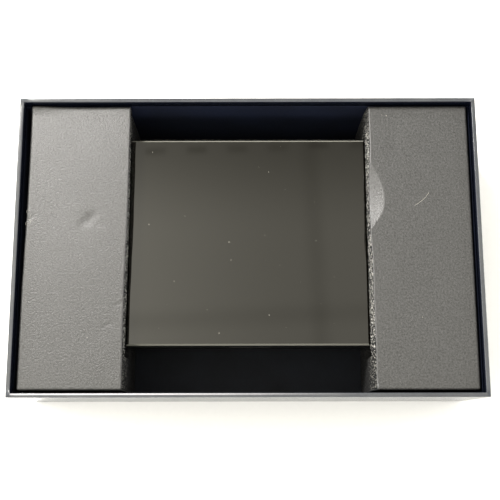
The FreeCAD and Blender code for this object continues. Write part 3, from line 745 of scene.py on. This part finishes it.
def foam_pit(y, z, side, settings):
    """How far the knife cut lies behind the foam's flat inner face: opened cells and a slow wander."""
    where = Vector((side * 50.0, y, z)) / settings.cell
    near, next_near = noise.voronoi(where)[0][:2]
    pit = min(1.0, max(0.0, (next_near - near) * 2.2)) * settings.cell_depth
    # The cut wanders over 16 mm along the cradle and 9 mm down it.
    wander = noise.noise(Vector((side * 9.0, y / (16 * MM), z / (9 * MM))))
    return pit + 0.06 * MM * (1 + wander)


def near_top(z):
    """From 0 at the depth where the relief has died away to 1 at the cradle's top."""
    share = min(1.0, max(0.0, (z - CRADLE_TOP + RELIEF_FADE) / RELIEF_FADE))
    return share * share


# Pieces ---------------------------------------------------------------------

# The tray's papers: the wrap's radius at an upright corner, the steps round a fold or a corner, and the
# steps along a long and a short side.
WRAP_CORNER = 0.33 * MM
FOLD_STEPS = 6
SIDE_STEPS = (64, 40)
MITRE_RISE = 0.16 * MM


def corner_ring(half_x, half_y, radius):
    """Points round a rounded rectangle, as many for any size: (place, outward, share of its corner)."""
    points = []
    corners = [(1, 1), (-1, 1), (-1, -1), (1, -1)]
    for quarter, spin in enumerate(corners):
        turn = math.radians(90 * quarter)
        centre = Vector((spin[0] * (half_x - radius), spin[1] * (half_y - radius)))
        for step in range(FOLD_STEPS + 1):
            angle = turn + math.radians(90) * step / FOLD_STEPS
            outward = Vector((math.cos(angle), math.sin(angle)))
            points.append((centre + outward * radius, outward, step / FOLD_STEPS))
        following = corners[(quarter + 1) % 4]
        start = centre + outward * radius
        end = Vector((following[0] * (half_x - radius), following[1] * (half_y - radius))) + outward * radius
        count = SIDE_STEPS[quarter % 2]
        for step in range(1, count):
            points.append((start.lerp(end, step / count), outward, 1.0))
    return points


def sweep_rings(rings):
    """Quads between consecutive closed rings of the same length."""
    size = len(rings[0])
    verts = [point for ring in rings for point in ring]
    faces = []
    for low in range(len(rings) - 1):
        for i in range(size):
            j = (i + 1) % size
            faces.append((low * size + i, low * size + j, (low + 1) * size + j, (low + 1) * size + i))
    return verts, faces


def wrap_profile(settings):
    """(half_x, half_y, corner radius, z) from the wrap's foot, over the rim, down to its turned-in edge."""
    fold = settings.fold_radius
    wall = TRAY_HALF_X - CLEAR_X
    profile = [(TRAY_HALF_X, TRAY_HALF_Y, WRAP_CORNER, z) for z in spread(BASE_SHEET_Z, RIM_Z - fold, 4 * MM)]
    steps = range(FOLD_STEPS + 1)
    outer = [(step / FOLD_STEPS, False) for step in steps[1:]]
    inner = [(1 - step / FOLD_STEPS, True) for step in steps]
    for share, inside in outer + inner:
        angle = math.radians(90) * share
        inward = fold * (1 - math.cos(angle))
        if inside:
            inward = wall - inward
        height = RIM_Z - fold * (1 - math.sin(angle))
        profile.append((TRAY_HALF_X - inward, TRAY_HALF_Y - inward, WRAP_CORNER, height))
    profile += [(CLEAR_X, CLEAR_Y, WRAP_CORNER, z) for z in spread(RIM_Z - fold, FOLD_Z, 1 * MM)[1:]]
    return profile


def make_wrap(settings):
    """The wrap: one paper glued up the walls, folded over the rim and turned in."""
    rings = []
    for half_x, half_y, corner, z in wrap_profile(settings):
        inside = half_x < (TRAY_HALF_X + CLEAR_X) / 2
        ring = []
        for flat, outward, share in corner_ring(half_x, half_y, corner):
            at = Vector((flat.x, flat.y, z))
            wander = wander_at(flat.x, flat.y, z * 2, 22 * MM)
            lift = settings.waviness * (0.5 + 0.5 * wander)
            if inside:
                lift = -lift * 0.5
            at.x += outward.x * lift
            at.y += outward.y * lift
            # Each rim corner has a mitre ridge, where one side's paper laps over the other's.
            if z > RIM_Z - 0.4 * MM:
                at.z += MITRE_RISE * math.sin(math.pi * share) + 0.03 * MM * wander
            ring.append(at)
        rings.append(ring)
    verts, faces = sweep_rings(rings)
    piece = new_piece("folded_wrap", verts, faces, wrap_paper(settings), sharp=math.radians(60))
    thicken(piece, 0.19 * MM)
    return settle(piece, "tray", "navy_wrap_paper", "front_wrap", "rear_wrap", "left_wrap", "right_wrap")


def make_wall_lining(material):
    """The lining: a paper band round the walls whose upper edge the turned-in wrap hides."""
    recess = 0.08 * MM
    rings = []
    for z in spread(FLOOR_Z, FOLD_Z, 2 * MM):
        ring = []
        for flat, outward, _ in corner_ring(CLEAR_X + recess, CLEAR_Y + recess, 0.4 * MM):
            lift = 0.05 * MM * wander_at(flat.x, flat.y, z + 5.0, 30 * MM)
            ring.append(Vector((flat.x + outward.x * lift, flat.y + outward.y * lift, z)))
        rings.append(ring)
    verts, faces = sweep_rings(rings)
    faces = [tuple(reversed(face)) for face in faces]
    piece = new_piece("wall_lining_band", verts, faces, material, sharp=math.radians(60))
    thicken(piece, 0.1 * MM)
    return settle(
        piece, "tray", "navy_lining_paper", "front_lining", "rear_lining", "left_lining", "right_lining",
    )


def make_floor_lining(material):
    """The floor's lining sheet, cockled by its glue."""
    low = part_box("floor_lining")[0].z
    xs = spread(-CLEAR_X, CLEAR_X, 2.5 * MM)
    ys = spread(-CLEAR_Y, CLEAR_Y, 2.5 * MM)

    def finish(x, y, z):
        if z < FLOOR_Z:
            return Vector((x, y, z))
        inset = min(CLEAR_X - abs(x), CLEAR_Y - abs(y))
        fade = min(1.0, inset / (8 * MM))
        wander = wander_at(x, y, 11.0, 28 * MM) - 0.6
        return Vector((x, y, z + 0.1 * MM * fade * wander))

    verts, faces = grid_surface(xs, ys, [low, FLOOR_Z], None, finish)
    piece = new_piece("floor_lining_sheet", verts, faces, material, sharp=math.radians(60))
    return settle(piece, "tray", "navy_lining_paper", "floor_lining")


def foam_layer(name, side, low, high, settings, material):
    """One laminated layer of a cradle. Its inner face and pocket show the knife-cut cells."""
    step = settings.mesh_step
    prefix = "right" if side > 0 else "left"
    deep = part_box(f"{prefix}_cradle_{name}_foam")
    end = max(abs(deep[0].x), abs(deep[1].x))
    front, rear = deep[0].y, deep[1].y
    radius = settings.fold_radius - FACING_PAPER
    slot_x = CARRIER_HIGH.x + 0.5 * MM
    slot_front = CARRIER_LOW.y - 6.5 * MM
    slot_rear = CARRIER_HIGH.y + 3.5 * MM
    xs = lines(
        (CRADLE_IN, slot_x, 2 * MM), (slot_x, end - 3 * MM, 6 * MM), (end - 3 * MM, end, 0.75 * MM),
    )
    ys = lines(
        (front, front + 3 * MM, step), (front + 3 * MM, slot_front, step),
        (slot_front, slot_rear, step), (slot_rear, rear - 3 * MM, step), (rear - 3 * MM, rear, step),
    )
    zs = spread(low, high, step)

    def solid(x, y, z):
        return name != "pocket" or x > slot_x or y < slot_front or y > slot_rear

    def finish(x, y, z):
        at = rounded((x * side, y, z), side, FACING_PAPER, radius, CRADLE_TOP - FACING_PAPER)
        at.x += give(at.x, at.y, at.z, side)
        if abs(x - CRADLE_IN) < 0.01 * MM:
            at.x += side * foam_pit(y, z, side, settings)
        elif abs(x - slot_x) < 0.01 * MM and slot_front < y < slot_rear:
            at.x += side * foam_pit(y, z, side * 3, settings)
        at.z += facing_relief(at.x, at.y) * near_top(z)
        # The right cradle's top layer has sagged onto the cover along its inner edge.
        over_cover = slot_front + 2 * MM < y < slot_rear - 2 * MM and x < slot_x - 4 * MM
        if side > 0 and name == "top" and over_cover:
            hang = mix(1.0, 0.0, (z - low) / (6 * MM))
            at.z -= (low - COVER_HIGH.z - 0.25 * MM) * hang
        return at

    verts, faces = grid_surface(xs, ys, zs, solid, finish)
    if side < 0:
        faces = [tuple(reversed(face)) for face in faces]
    piece = new_piece(f"{prefix}_{name}_foam_block", verts, faces, material, sharp=math.radians(70))
    settle(piece, "insert", "black_foam", f"{prefix}_cradle_{name}_foam")
    if name != "base":
        yields_to_leaf(piece, side)
    return piece


def make_facing(side, settings, material):
    """A facing paper, folded down over a cradle's end, front and rear, and cut flush at its inner edge."""
    prefix = "right" if side > 0 else "left"
    fold = settings.fold_radius + 0.5 * MM
    cut_edge, pressed = CRADLE_IN + 1 * MM, CRADLE_IN + 12 * MM
    xs = lines(
        (CRADLE_IN, cut_edge, 0.2 * MM), (cut_edge, pressed, 0.5 * MM),
        (pressed, CRADLE_OUT - fold, 1.0 * MM), (CRADLE_OUT - fold, CRADLE_OUT, 0.4 * MM),
    )
    ys = lines(
        (CRADLE_FRONT, CRADLE_FRONT + fold, 0.4 * MM), (CRADLE_FRONT + fold, CRADLE_REAR - fold, 0.8 * MM),
        (CRADLE_REAR - fold, CRADLE_REAR, 0.4 * MM),
    )
    zs = lines((FACING_FOOT, CRADLE_TOP - fold, 4 * MM), (CRADLE_TOP - fold, CRADLE_TOP, 0.4 * MM))

    def finish(x, y, z):
        at = rounded((x * side, y, z), side, 0.0, settings.fold_radius, CRADLE_TOP)
        at.z += facing_relief(at.x, at.y) * near_top(z)
        at.x += give(at.x, at.y, at.z, side)
        edge = max(0.0, 1 - (x - CRADLE_IN) / (2 * MM))
        # The knife has turned the cut edge down a little.
        turned = max(0.0, 1 - (x - CRADLE_IN) / (0.8 * MM))
        at.z -= 0.28 * MM * turned * turned
        at.x += side * edge * 0.16 * MM * noise.noise(Vector((side * 4.0, at.y / (13 * MM), 0.0)))
        # One corner of each facing has sprung a little from its glue.
        if side < 0:
            along, across = (x - CRADLE_OUT) / (14 * MM), (y - CRADLE_REAR) / (3 * MM)
            corner = math.exp(-along * along - across * across)
            at.z += 0.7 * MM * corner
            at.y += 0.5 * MM * corner
        else:
            corner = math.exp(-((x - CRADLE_IN) ** 2 + (y - CRADLE_FRONT) ** 2) / (3.0 * MM) ** 2)
            at.z += 0.7 * MM * corner
        return at

    verts, faces = grid_surface(xs, ys, zs, None, finish, omit=((0, -1), (2, -1)))
    if side < 0:
        faces = [tuple(reversed(face)) for face in faces]
    piece = new_piece(f"{prefix}_facing_sheet", verts, faces, material, sharp=math.radians(50))
    thicken(piece, FACING_PAPER)
    settle(piece, "insert", "charcoal_facing_paper", f"{prefix}_cradle_facing")
    yields_to_leaf(piece, side)
    return piece


def flake(verts, faces, centre, size, rise, dice):
    """Add a torn flake of dust: a low crumpled cap on a few uneven corners."""
    count = dice.randint(5, 7)
    start = len(verts)
    for i in range(count):
        angle = 2 * math.pi * (i + dice.uniform(-0.3, 0.3)) / count
        reach = size / 2 * dice.uniform(0.55, 1.2)
        verts.append(centre + reach * Vector((math.cos(angle), math.sin(angle), 0.0)))
    verts.append(centre + Vector((0, 0, rise)))
    top = len(verts) - 1
    for i in range(count):
        faces.append((start + i, start + (i + 1) % count, top))
    faces.append(tuple(start + i for i in reversed(range(count))))


def thread(verts, faces, points, radius):
    """Add a fine fibre: a six-sided tube through the points, closed at both ends."""
    start = len(verts)
    sides = 6
    for i, point in enumerate(points):
        ahead = points[min(i + 1, len(points) - 1)] - points[max(i - 1, 0)]
        ahead.normalize()
        across = ahead.cross(Vector((0, 0, 1))).normalized()
        up = across.cross(ahead)
        for j in range(sides):
            angle = 2 * math.pi * j / sides
            verts.append(point + radius * (across * math.cos(angle) + up * math.sin(angle)))
    for i in range(len(points) - 1):
        for j in range(sides):
            a, b = start + i * sides + j, start + i * sides + (j + 1) % sides
            faces.append((a, b, b + sides, a + sides))
    faces.append(tuple(start + j for j in range(sides)))
    last = start + (len(points) - 1) * sides
    faces.append(tuple(last + j for j in reversed(range(sides))))


# Settled dust on the cover glass: x, y and size, in millimetres.
GLASS_SPECKS = [
    (-57.0, 14.8, 0.55), (-10.8, 4.2, 0.5), (-9.6, -6.3, 0.45), (-42.0, -18.5, 0.45), (39.2, 4.9, 0.4),
    (12.0, -38.0, 0.4), (-16.2, -48.2, 0.4), (12.3, 46.0, 0.45), (-55.7, 58.1, 0.45),
]
FACING_SPECKS = [
    (80.0, 75.6, 0.5), (83.5, 74.2, 0.4), (77.2, 76.1, 0.35), (-88.0, -52.0, 0.4), (96.0, -41.0, 0.35),
]
# The curved fibre on the right facing, in millimetres.
FIBRE = [(102.4, 29.8), (100.6, 27.2), (98.3, 25.2), (96.2, 23.5), (94.2, 22.3)]


def make_glass_dust(settings, material):
    """Loose dust on the cover glass."""
    dice = random.Random(settings.dust_seed)
    verts, faces = [], []
    places = [(x * MM, y * MM, size * MM) for x, y, size in GLASS_SPECKS]
    for _ in range(settings.dust_count):
        places.append((
            dice.uniform(COVER_LOW.x + 3 * MM, COVER_HIGH.x - 3 * MM),
            dice.uniform(COVER_LOW.y + 3 * MM, COVER_HIGH.y - 3 * MM),
            dice.uniform(0.1, 0.24) * MM,
        ))
    for x, y, size in places:
        flake(verts, faces, Vector((x, y, COVER_HIGH.z + 0.01 * MM)), size, size * 0.3, dice)
    piece = new_piece("glass_dust", verts, faces, material)
    return settle(piece, "upper_leaf", "navy_lining_paper")


def on_facing(x, y, lift):
    """A point a little above a facing's face."""
    return Vector((x, y, CRADLE_TOP + facing_relief(x, y) + lift))


def make_facing_lint(settings, material):
    """Lint on the facings: a few flakes, one curved fibre, and short hairs caught at the left outer edge."""
    dice = random.Random(settings.dust_seed + 1)
    verts, faces = [], []
    for x, y, size in FACING_SPECKS:
        at = on_facing(x * MM, y * MM, 0.02 * MM)
        flake(verts, faces, at, size * MM, size * 0.3 * MM, dice)
    thread(verts, faces, [on_facing(x * MM, y * MM, 0.06 * MM) for x, y in FIBRE], 0.05 * MM)
    for _ in range(settings.hair_count):
        start = Vector((-(CRADLE_OUT - 2.2 * MM), 15.5 * MM, 0.0))
        start += Vector((dice.uniform(-0.8, 1.2) * MM, dice.uniform(-4.5, 4.5) * MM, 0.0))
        turn, bend = dice.uniform(0.0, math.tau), dice.uniform(-0.9, 0.9)
        path = []
        for step in range(6):
            at = start + Vector((math.cos(turn), math.sin(turn), 0.0)) * (0.45 * MM * step)
            curl = (0.06 + 0.12 * math.sin(step * 0.6)) * MM
            path.append(on_facing(max(at.x, -(CRADLE_OUT - 1.3 * MM)), at.y, curl))
            turn += bend * 0.4
        thread(verts, faces, path, 0.035 * MM)
    piece = new_piece("facing_lint", verts, faces, material)
    return settle(piece, "insert", "navy_lining_paper")


def coat(material, *names):
    """Give CAD nodes that stay visible their finish."""
    for name in names:
        if name not in NODES:
            raise RuntimeError(f"the frame has no node named {name}")
        NODES[name].data.materials.clear()
        NODES[name].data.materials.append(material)


def area_light(name, at, aim, size, power, colour):
    """A soft rectangular light, aimed at a place."""
    data = bpy.data.lights.new(name, "AREA")
    data.shape = "RECTANGLE"
    data.size, data.size_y = size
    data.energy = power
    data.color = colour[:3]
    lamp = bpy.data.objects.new(name, data)
    bpy.context.scene.collection.objects.link(lamp)
    lamp.location = at
    lamp.rotation_euler = (Vector(aim) - Vector(at)).to_track_quat("-Z", "Y").to_euler()
    return lamp


# Operators ------------------------------------------------------------------

class MESH_OT_carrier_stage(bpy.types.Operator):
    """Set up the camera, the pale floor, the diffuser, the key light and the room"""

    bl_idname = "mesh.carrier_stage"
    bl_label = "Stage"

    def execute(self, context):
        settings = context.scene.carrier_stage
        scene = context.scene
        data = bpy.data.cameras.new("camera")
        data.lens = settings.lens
        data.sensor_width = 36.0
        data.shift_x = 0.0044
        data.clip_start = 0.01
        camera = bpy.data.objects.new("camera", data)
        scene.collection.objects.link(camera)
        camera.location = settings.camera_place
        camera.rotation_mode = "ZYX"
        camera.rotation_euler = (settings.camera_tilt, 0.0, settings.camera_roll)
        scene.camera = camera
        scene.view_settings.view_transform = "Standard"

        world = bpy.data.worlds.new("pale_room")
        world.use_nodes = True
        background = world.node_tree.nodes["Background"]
        background.inputs["Color"].default_value = srgb("#FBFCFF")
        background.inputs["Strength"].default_value = settings.world_light
        scene.world = world

        # Backdrop paper, rolled matt: an even white with hardly any grain.
        floor_paint = grained("matt_paper_backdrop", settings.floor_hex, 0.8, 3 * MM, 0.02 * MM, spread=0.01)
        floor = new_piece(
            "floor", [(-4, -4, 0), (4, -4, 0), (4, 4, 0), (-4, 4, 0)], [(0, 1, 2, 3)], floor_paint,
        )
        height = settings.panel_height
        cloth = new_piece(
            "diffuser",
            [(-1.4, -0.9, height), (1.4, -0.9, height), (1.4, 1.7, height), (-1.4, 1.7, height)],
            [(3, 2, 1, 0)], diffuser(settings),
        )
        cloth.visible_camera = False
        area_light(
            "left_key", (-0.72, 0.78, 1.45), (0.0, 0.0, 0.06), (0.5, 0.5),
            settings.key_power, srgb("#FFFCF8"),
        )
        # Low cards at the sides and front light the foam's cut faces and lift the floor's shadows.
        cards = (
            ("left_card", (-1.3, 0.0, 0.5), 0.8), ("right_card", (1.3, 0.1, 0.5), 0.6),
            ("front_card", (0.0, -1.4, 0.5), 0.7),
        )
        white = srgb("#FFFFFF")
        for name, at, share in cards:
            area_light(name, at, (0.0, 0.0, 0.03), (0.8, 0.8), settings.card_power * share, white)
        # A weak strip at the rear lifts the folds and chamfers that face it.
        area_light("rear_strip", (0.0, 1.5, 1.0), (0.0, 0.0, 0.06), (2.6, 0.3), settings.strip_power, white)
        return {"FINISHED"}


class MESH_OT_carrier_wrap(bpy.types.Operator):
    """Fold the navy wrap over the tray's walls and rim"""

    bl_idname = "mesh.carrier_wrap"
    bl_label = "Tray wrap"

    def execute(self, context):
        settings = context.scene.carrier_tray
        make_wrap(settings)
        coat(wrap_paper(settings), "base_wrap")
        return {"FINISHED"}


class MESH_OT_carrier_lining(bpy.types.Operator):
    """Line the tray's walls and floor with navy paper"""

    bl_idname = "mesh.carrier_lining"
    bl_label = "Tray lining"

    def execute(self, context):
        settings = context.scene.carrier_tray
        make_wall_lining(lining_paper("navy_uncoated_lining", settings.lining_hex))
        # The floor's copy of the lining is lighter and greyer: painted light on the floor.
        make_floor_lining(lining_paper("painted_light_floor_lining", settings.floor_lining_hex))
        return {"FINISHED"}


class MESH_OT_carrier_boards(bpy.types.Operator):
    """Finish the greyboard panels and the kraft tape round the tray's corners"""

    bl_idname = "mesh.carrier_boards"
    bl_label = "Tray boards"

    def execute(self, context):
        # Greyboard, pulped and pressed: a dull flecked grey with a felted surface.
        boards = grained("pressed_greyboard", "#8C8780", 0.85, 0.9 * MM, 0.06 * MM, spread=0.25)
        walls = [f"{side}_wall_board" for side in ("front", "rear", "left", "right")]
        coat(boards, "base_board", *walls)
        # Kraft tape, gummed and wetted down: brown, half matt, with faint long fibres.
        coat(grained("gummed_kraft_tape", "#A07B52", 0.7, 0.8 * MM, 0.03 * MM), "corner_stays")
        return {"FINISHED"}


class MESH_OT_carrier_foam(bpy.types.Operator):
    """Cut the two foam cradles, each laminated from three layers"""

    bl_idname = "mesh.carrier_foam"
    bl_label = "Cradle foam"

    def execute(self, context):
        settings = context.scene.carrier_cradle
        material = cut_foam(settings)
        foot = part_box("right_cradle_base_foam")[0].z
        layers = (("base", foot, POCKET_FOOT), ("pocket", POCKET_FOOT, POCKET_TOP),
                  ("top", POCKET_TOP, CRADLE_TOP - FACING_PAPER))
        for side in (-1, 1):
            for name, low, high in layers:
                foam_layer(name, side, low, high, settings, material)
        return {"FINISHED"}


class MESH_OT_carrier_facings(bpy.types.Operator):
    """Fold the charcoal facing papers over the cradles"""

    bl_idname = "mesh.carrier_facings"
    bl_label = "Cradle facings"

    def execute(self, context):
        settings = context.scene.carrier_cradle
        material = facing_paper(settings)
        for side in (-1, 1):
            make_facing(side, settings, material)
        return {"FINISHED"}


class MESH_OT_carrier_glass(bpy.types.Operator):
    """Finish the dark cover glass and the two clear panes"""

    bl_idname = "mesh.carrier_glass"
    bl_label = "Glass"

    def execute(self, context):
        coat(dark_glass(context.scene.carrier_finish), "cover_glass")
        coat(clear_pane(), "pressure_glass", "lower_film_glass")
        return {"FINISHED"}


class MESH_OT_carrier_frames(bpy.types.Operator):
    """Finish the carrier's two anodised frames"""

    bl_idname = "mesh.carrier_frames"
    bl_label = "Frames"

    def execute(self, context):
        coat(blasted_anodised(context.scene.carrier_finish), "lower_frame", "upper_frame")
        return {"FINISHED"}


class MESH_OT_carrier_seals(bpy.types.Operator):
    """Finish the rubber gaskets, the felt seal and the bonding tape"""

    bl_idname = "mesh.carrier_seals"
    bl_label = "Seals and tape"

    def execute(self, context):
        # Rubber, compression moulded: an even soft black without a shine.
        rubber = grained("moulded_black_rubber", "#202020", 0.7, 0.6 * MM, 0.02 * MM)
        coat(rubber, "lower_gasket", "upper_gasket")
        # Wool felt, pressed: a light-eating black with a loose nap.
        felt = grained(
            "pressed_wool_felt", "#151515", 0.95, 0.7 * MM, 0.15 * MM, spread=0.4, Sheen_Weight=0.3,
        )
        coat(felt, "light_seal_felt")
        # Acrylic foam tape, cast: a grey-black edge with fine bubbles.
        coat(grained("acrylic_foam_tape", "#2B2B2A", 0.6, 0.8 * MM, 0.03 * MM), "cover_bond_tape")
        return {"FINISHED"}


class MESH_OT_carrier_hardware(bpy.types.Operator):
    """Finish the hinges, screws, guides, magnets and keepers"""

    bl_idname = "mesh.carrier_hardware"
    bl_label = "Hardware"

    def execute(self, context):
        # Steel sheet, stamped and chemically blackened: a dark oily satin.
        plates = grained("blackened_steel", "#26272A", 0.45, 0.6 * MM, 0.015 * MM, Metallic=0.8)
        coat(plates, "lower_hinge_plates", "upper_hinge_plates")
        # Screws and pins, turned along X: bright rings across their length.
        turned = turned_steel("turned_steel", "#A9A9A6", 0.28, (0.15, 1.0, 1.0))
        coat(turned, "lower_hinge_screws", "upper_hinge_screws", "hinge_pins")
        # Guides and keepers, surface ground along Y: fine straight lines.
        ground = turned_steel("ground_steel", "#9FA0A0", 0.32, (1.0, 0.1, 1.0))
        coat(ground, "film_guides", "steel_keepers")
        # Magnets, barrel plated with nickel: a warm, slightly dimpled mirror.
        plated = grained(
            "barrel_nickel_plate", "#C9C4B8", 0.22, 0.5 * MM, 0.006 * MM, spread=0.06, Metallic=1.0,
        )
        coat(plated, "closing_magnets")
        return {"FINISHED"}


class MESH_OT_carrier_dust(bpy.types.Operator):
    """Scatter the settled dust and lint"""

    bl_idname = "mesh.carrier_dust"
    bl_label = "Dust and lint"

    def execute(self, context):
        settings = context.scene.carrier_finish
        # Cotton lint: pale, dull and fibrous.
        lint = grained("cotton_lint", "#B9B6AC", 0.9, 0.1 * MM, 0.01 * MM)
        make_glass_dust(settings, lint)
        make_facing_lint(settings, lint)
        return {"FINISHED"}


class VIEW3D_PT_carrier(bpy.types.Panel):
    """The pieces of the carrier, in the order that they are made"""

    bl_idname = "VIEW3D_PT_carrier"
    bl_label = "Glass Negative Carrier"
    bl_space_type = "VIEW_3D"
    bl_region_type = "UI"
    bl_category = "Carrier"

    def draw(self, context):
        for name in SETTINGS:
            settings = getattr(context.scene, name)
            for key in settings.bl_rna.properties.keys():
                if key not in ("rna_type", "name"):
                    self.layout.prop(settings, key)
        for operator in OPERATORS:
            self.layout.operator(operator.bl_idname)


SETTINGS = {
    "carrier_stage": StageSettings,
    "carrier_tray": TraySettings,
    "carrier_cradle": CradleSettings,
    "carrier_finish": CarrierSettings,
}
OPERATORS = (
    MESH_OT_carrier_stage, MESH_OT_carrier_wrap, MESH_OT_carrier_lining, MESH_OT_carrier_boards,
    MESH_OT_carrier_foam, MESH_OT_carrier_facings, MESH_OT_carrier_glass, MESH_OT_carrier_frames,
    MESH_OT_carrier_seals, MESH_OT_carrier_hardware, MESH_OT_carrier_dust,
)


def register():
    """Make the settings, operators and panel known to Blender."""
    for group in SETTINGS.values():
        bpy.utils.register_class(group)
    for operator in OPERATORS:
        bpy.utils.register_class(operator)
    bpy.utils.register_class(VIEW3D_PT_carrier)
    for name, group in SETTINGS.items():
        setattr(bpy.types.Scene, name, PointerProperty(type=group))


def unregister():
    """Take them away again."""
    for name in SETTINGS:
        delattr(bpy.types.Scene, name)
    bpy.utils.unregister_class(VIEW3D_PT_carrier)
    for operator in reversed(OPERATORS):
        bpy.utils.unregister_class(operator)
    for group in reversed(list(SETTINGS.values())):
        bpy.utils.unregister_class(group)


def main():
    """Make every piece in order."""
    register()
    for operator in OPERATORS:
        group, name = operator.bl_idname.split(".")
        result = getattr(getattr(bpy.ops, group), name)()
        if result != {"FINISHED"}:
            raise RuntimeError(f"{operator.bl_label} did not finish")
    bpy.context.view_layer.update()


if __name__ == "__main__":
    main()
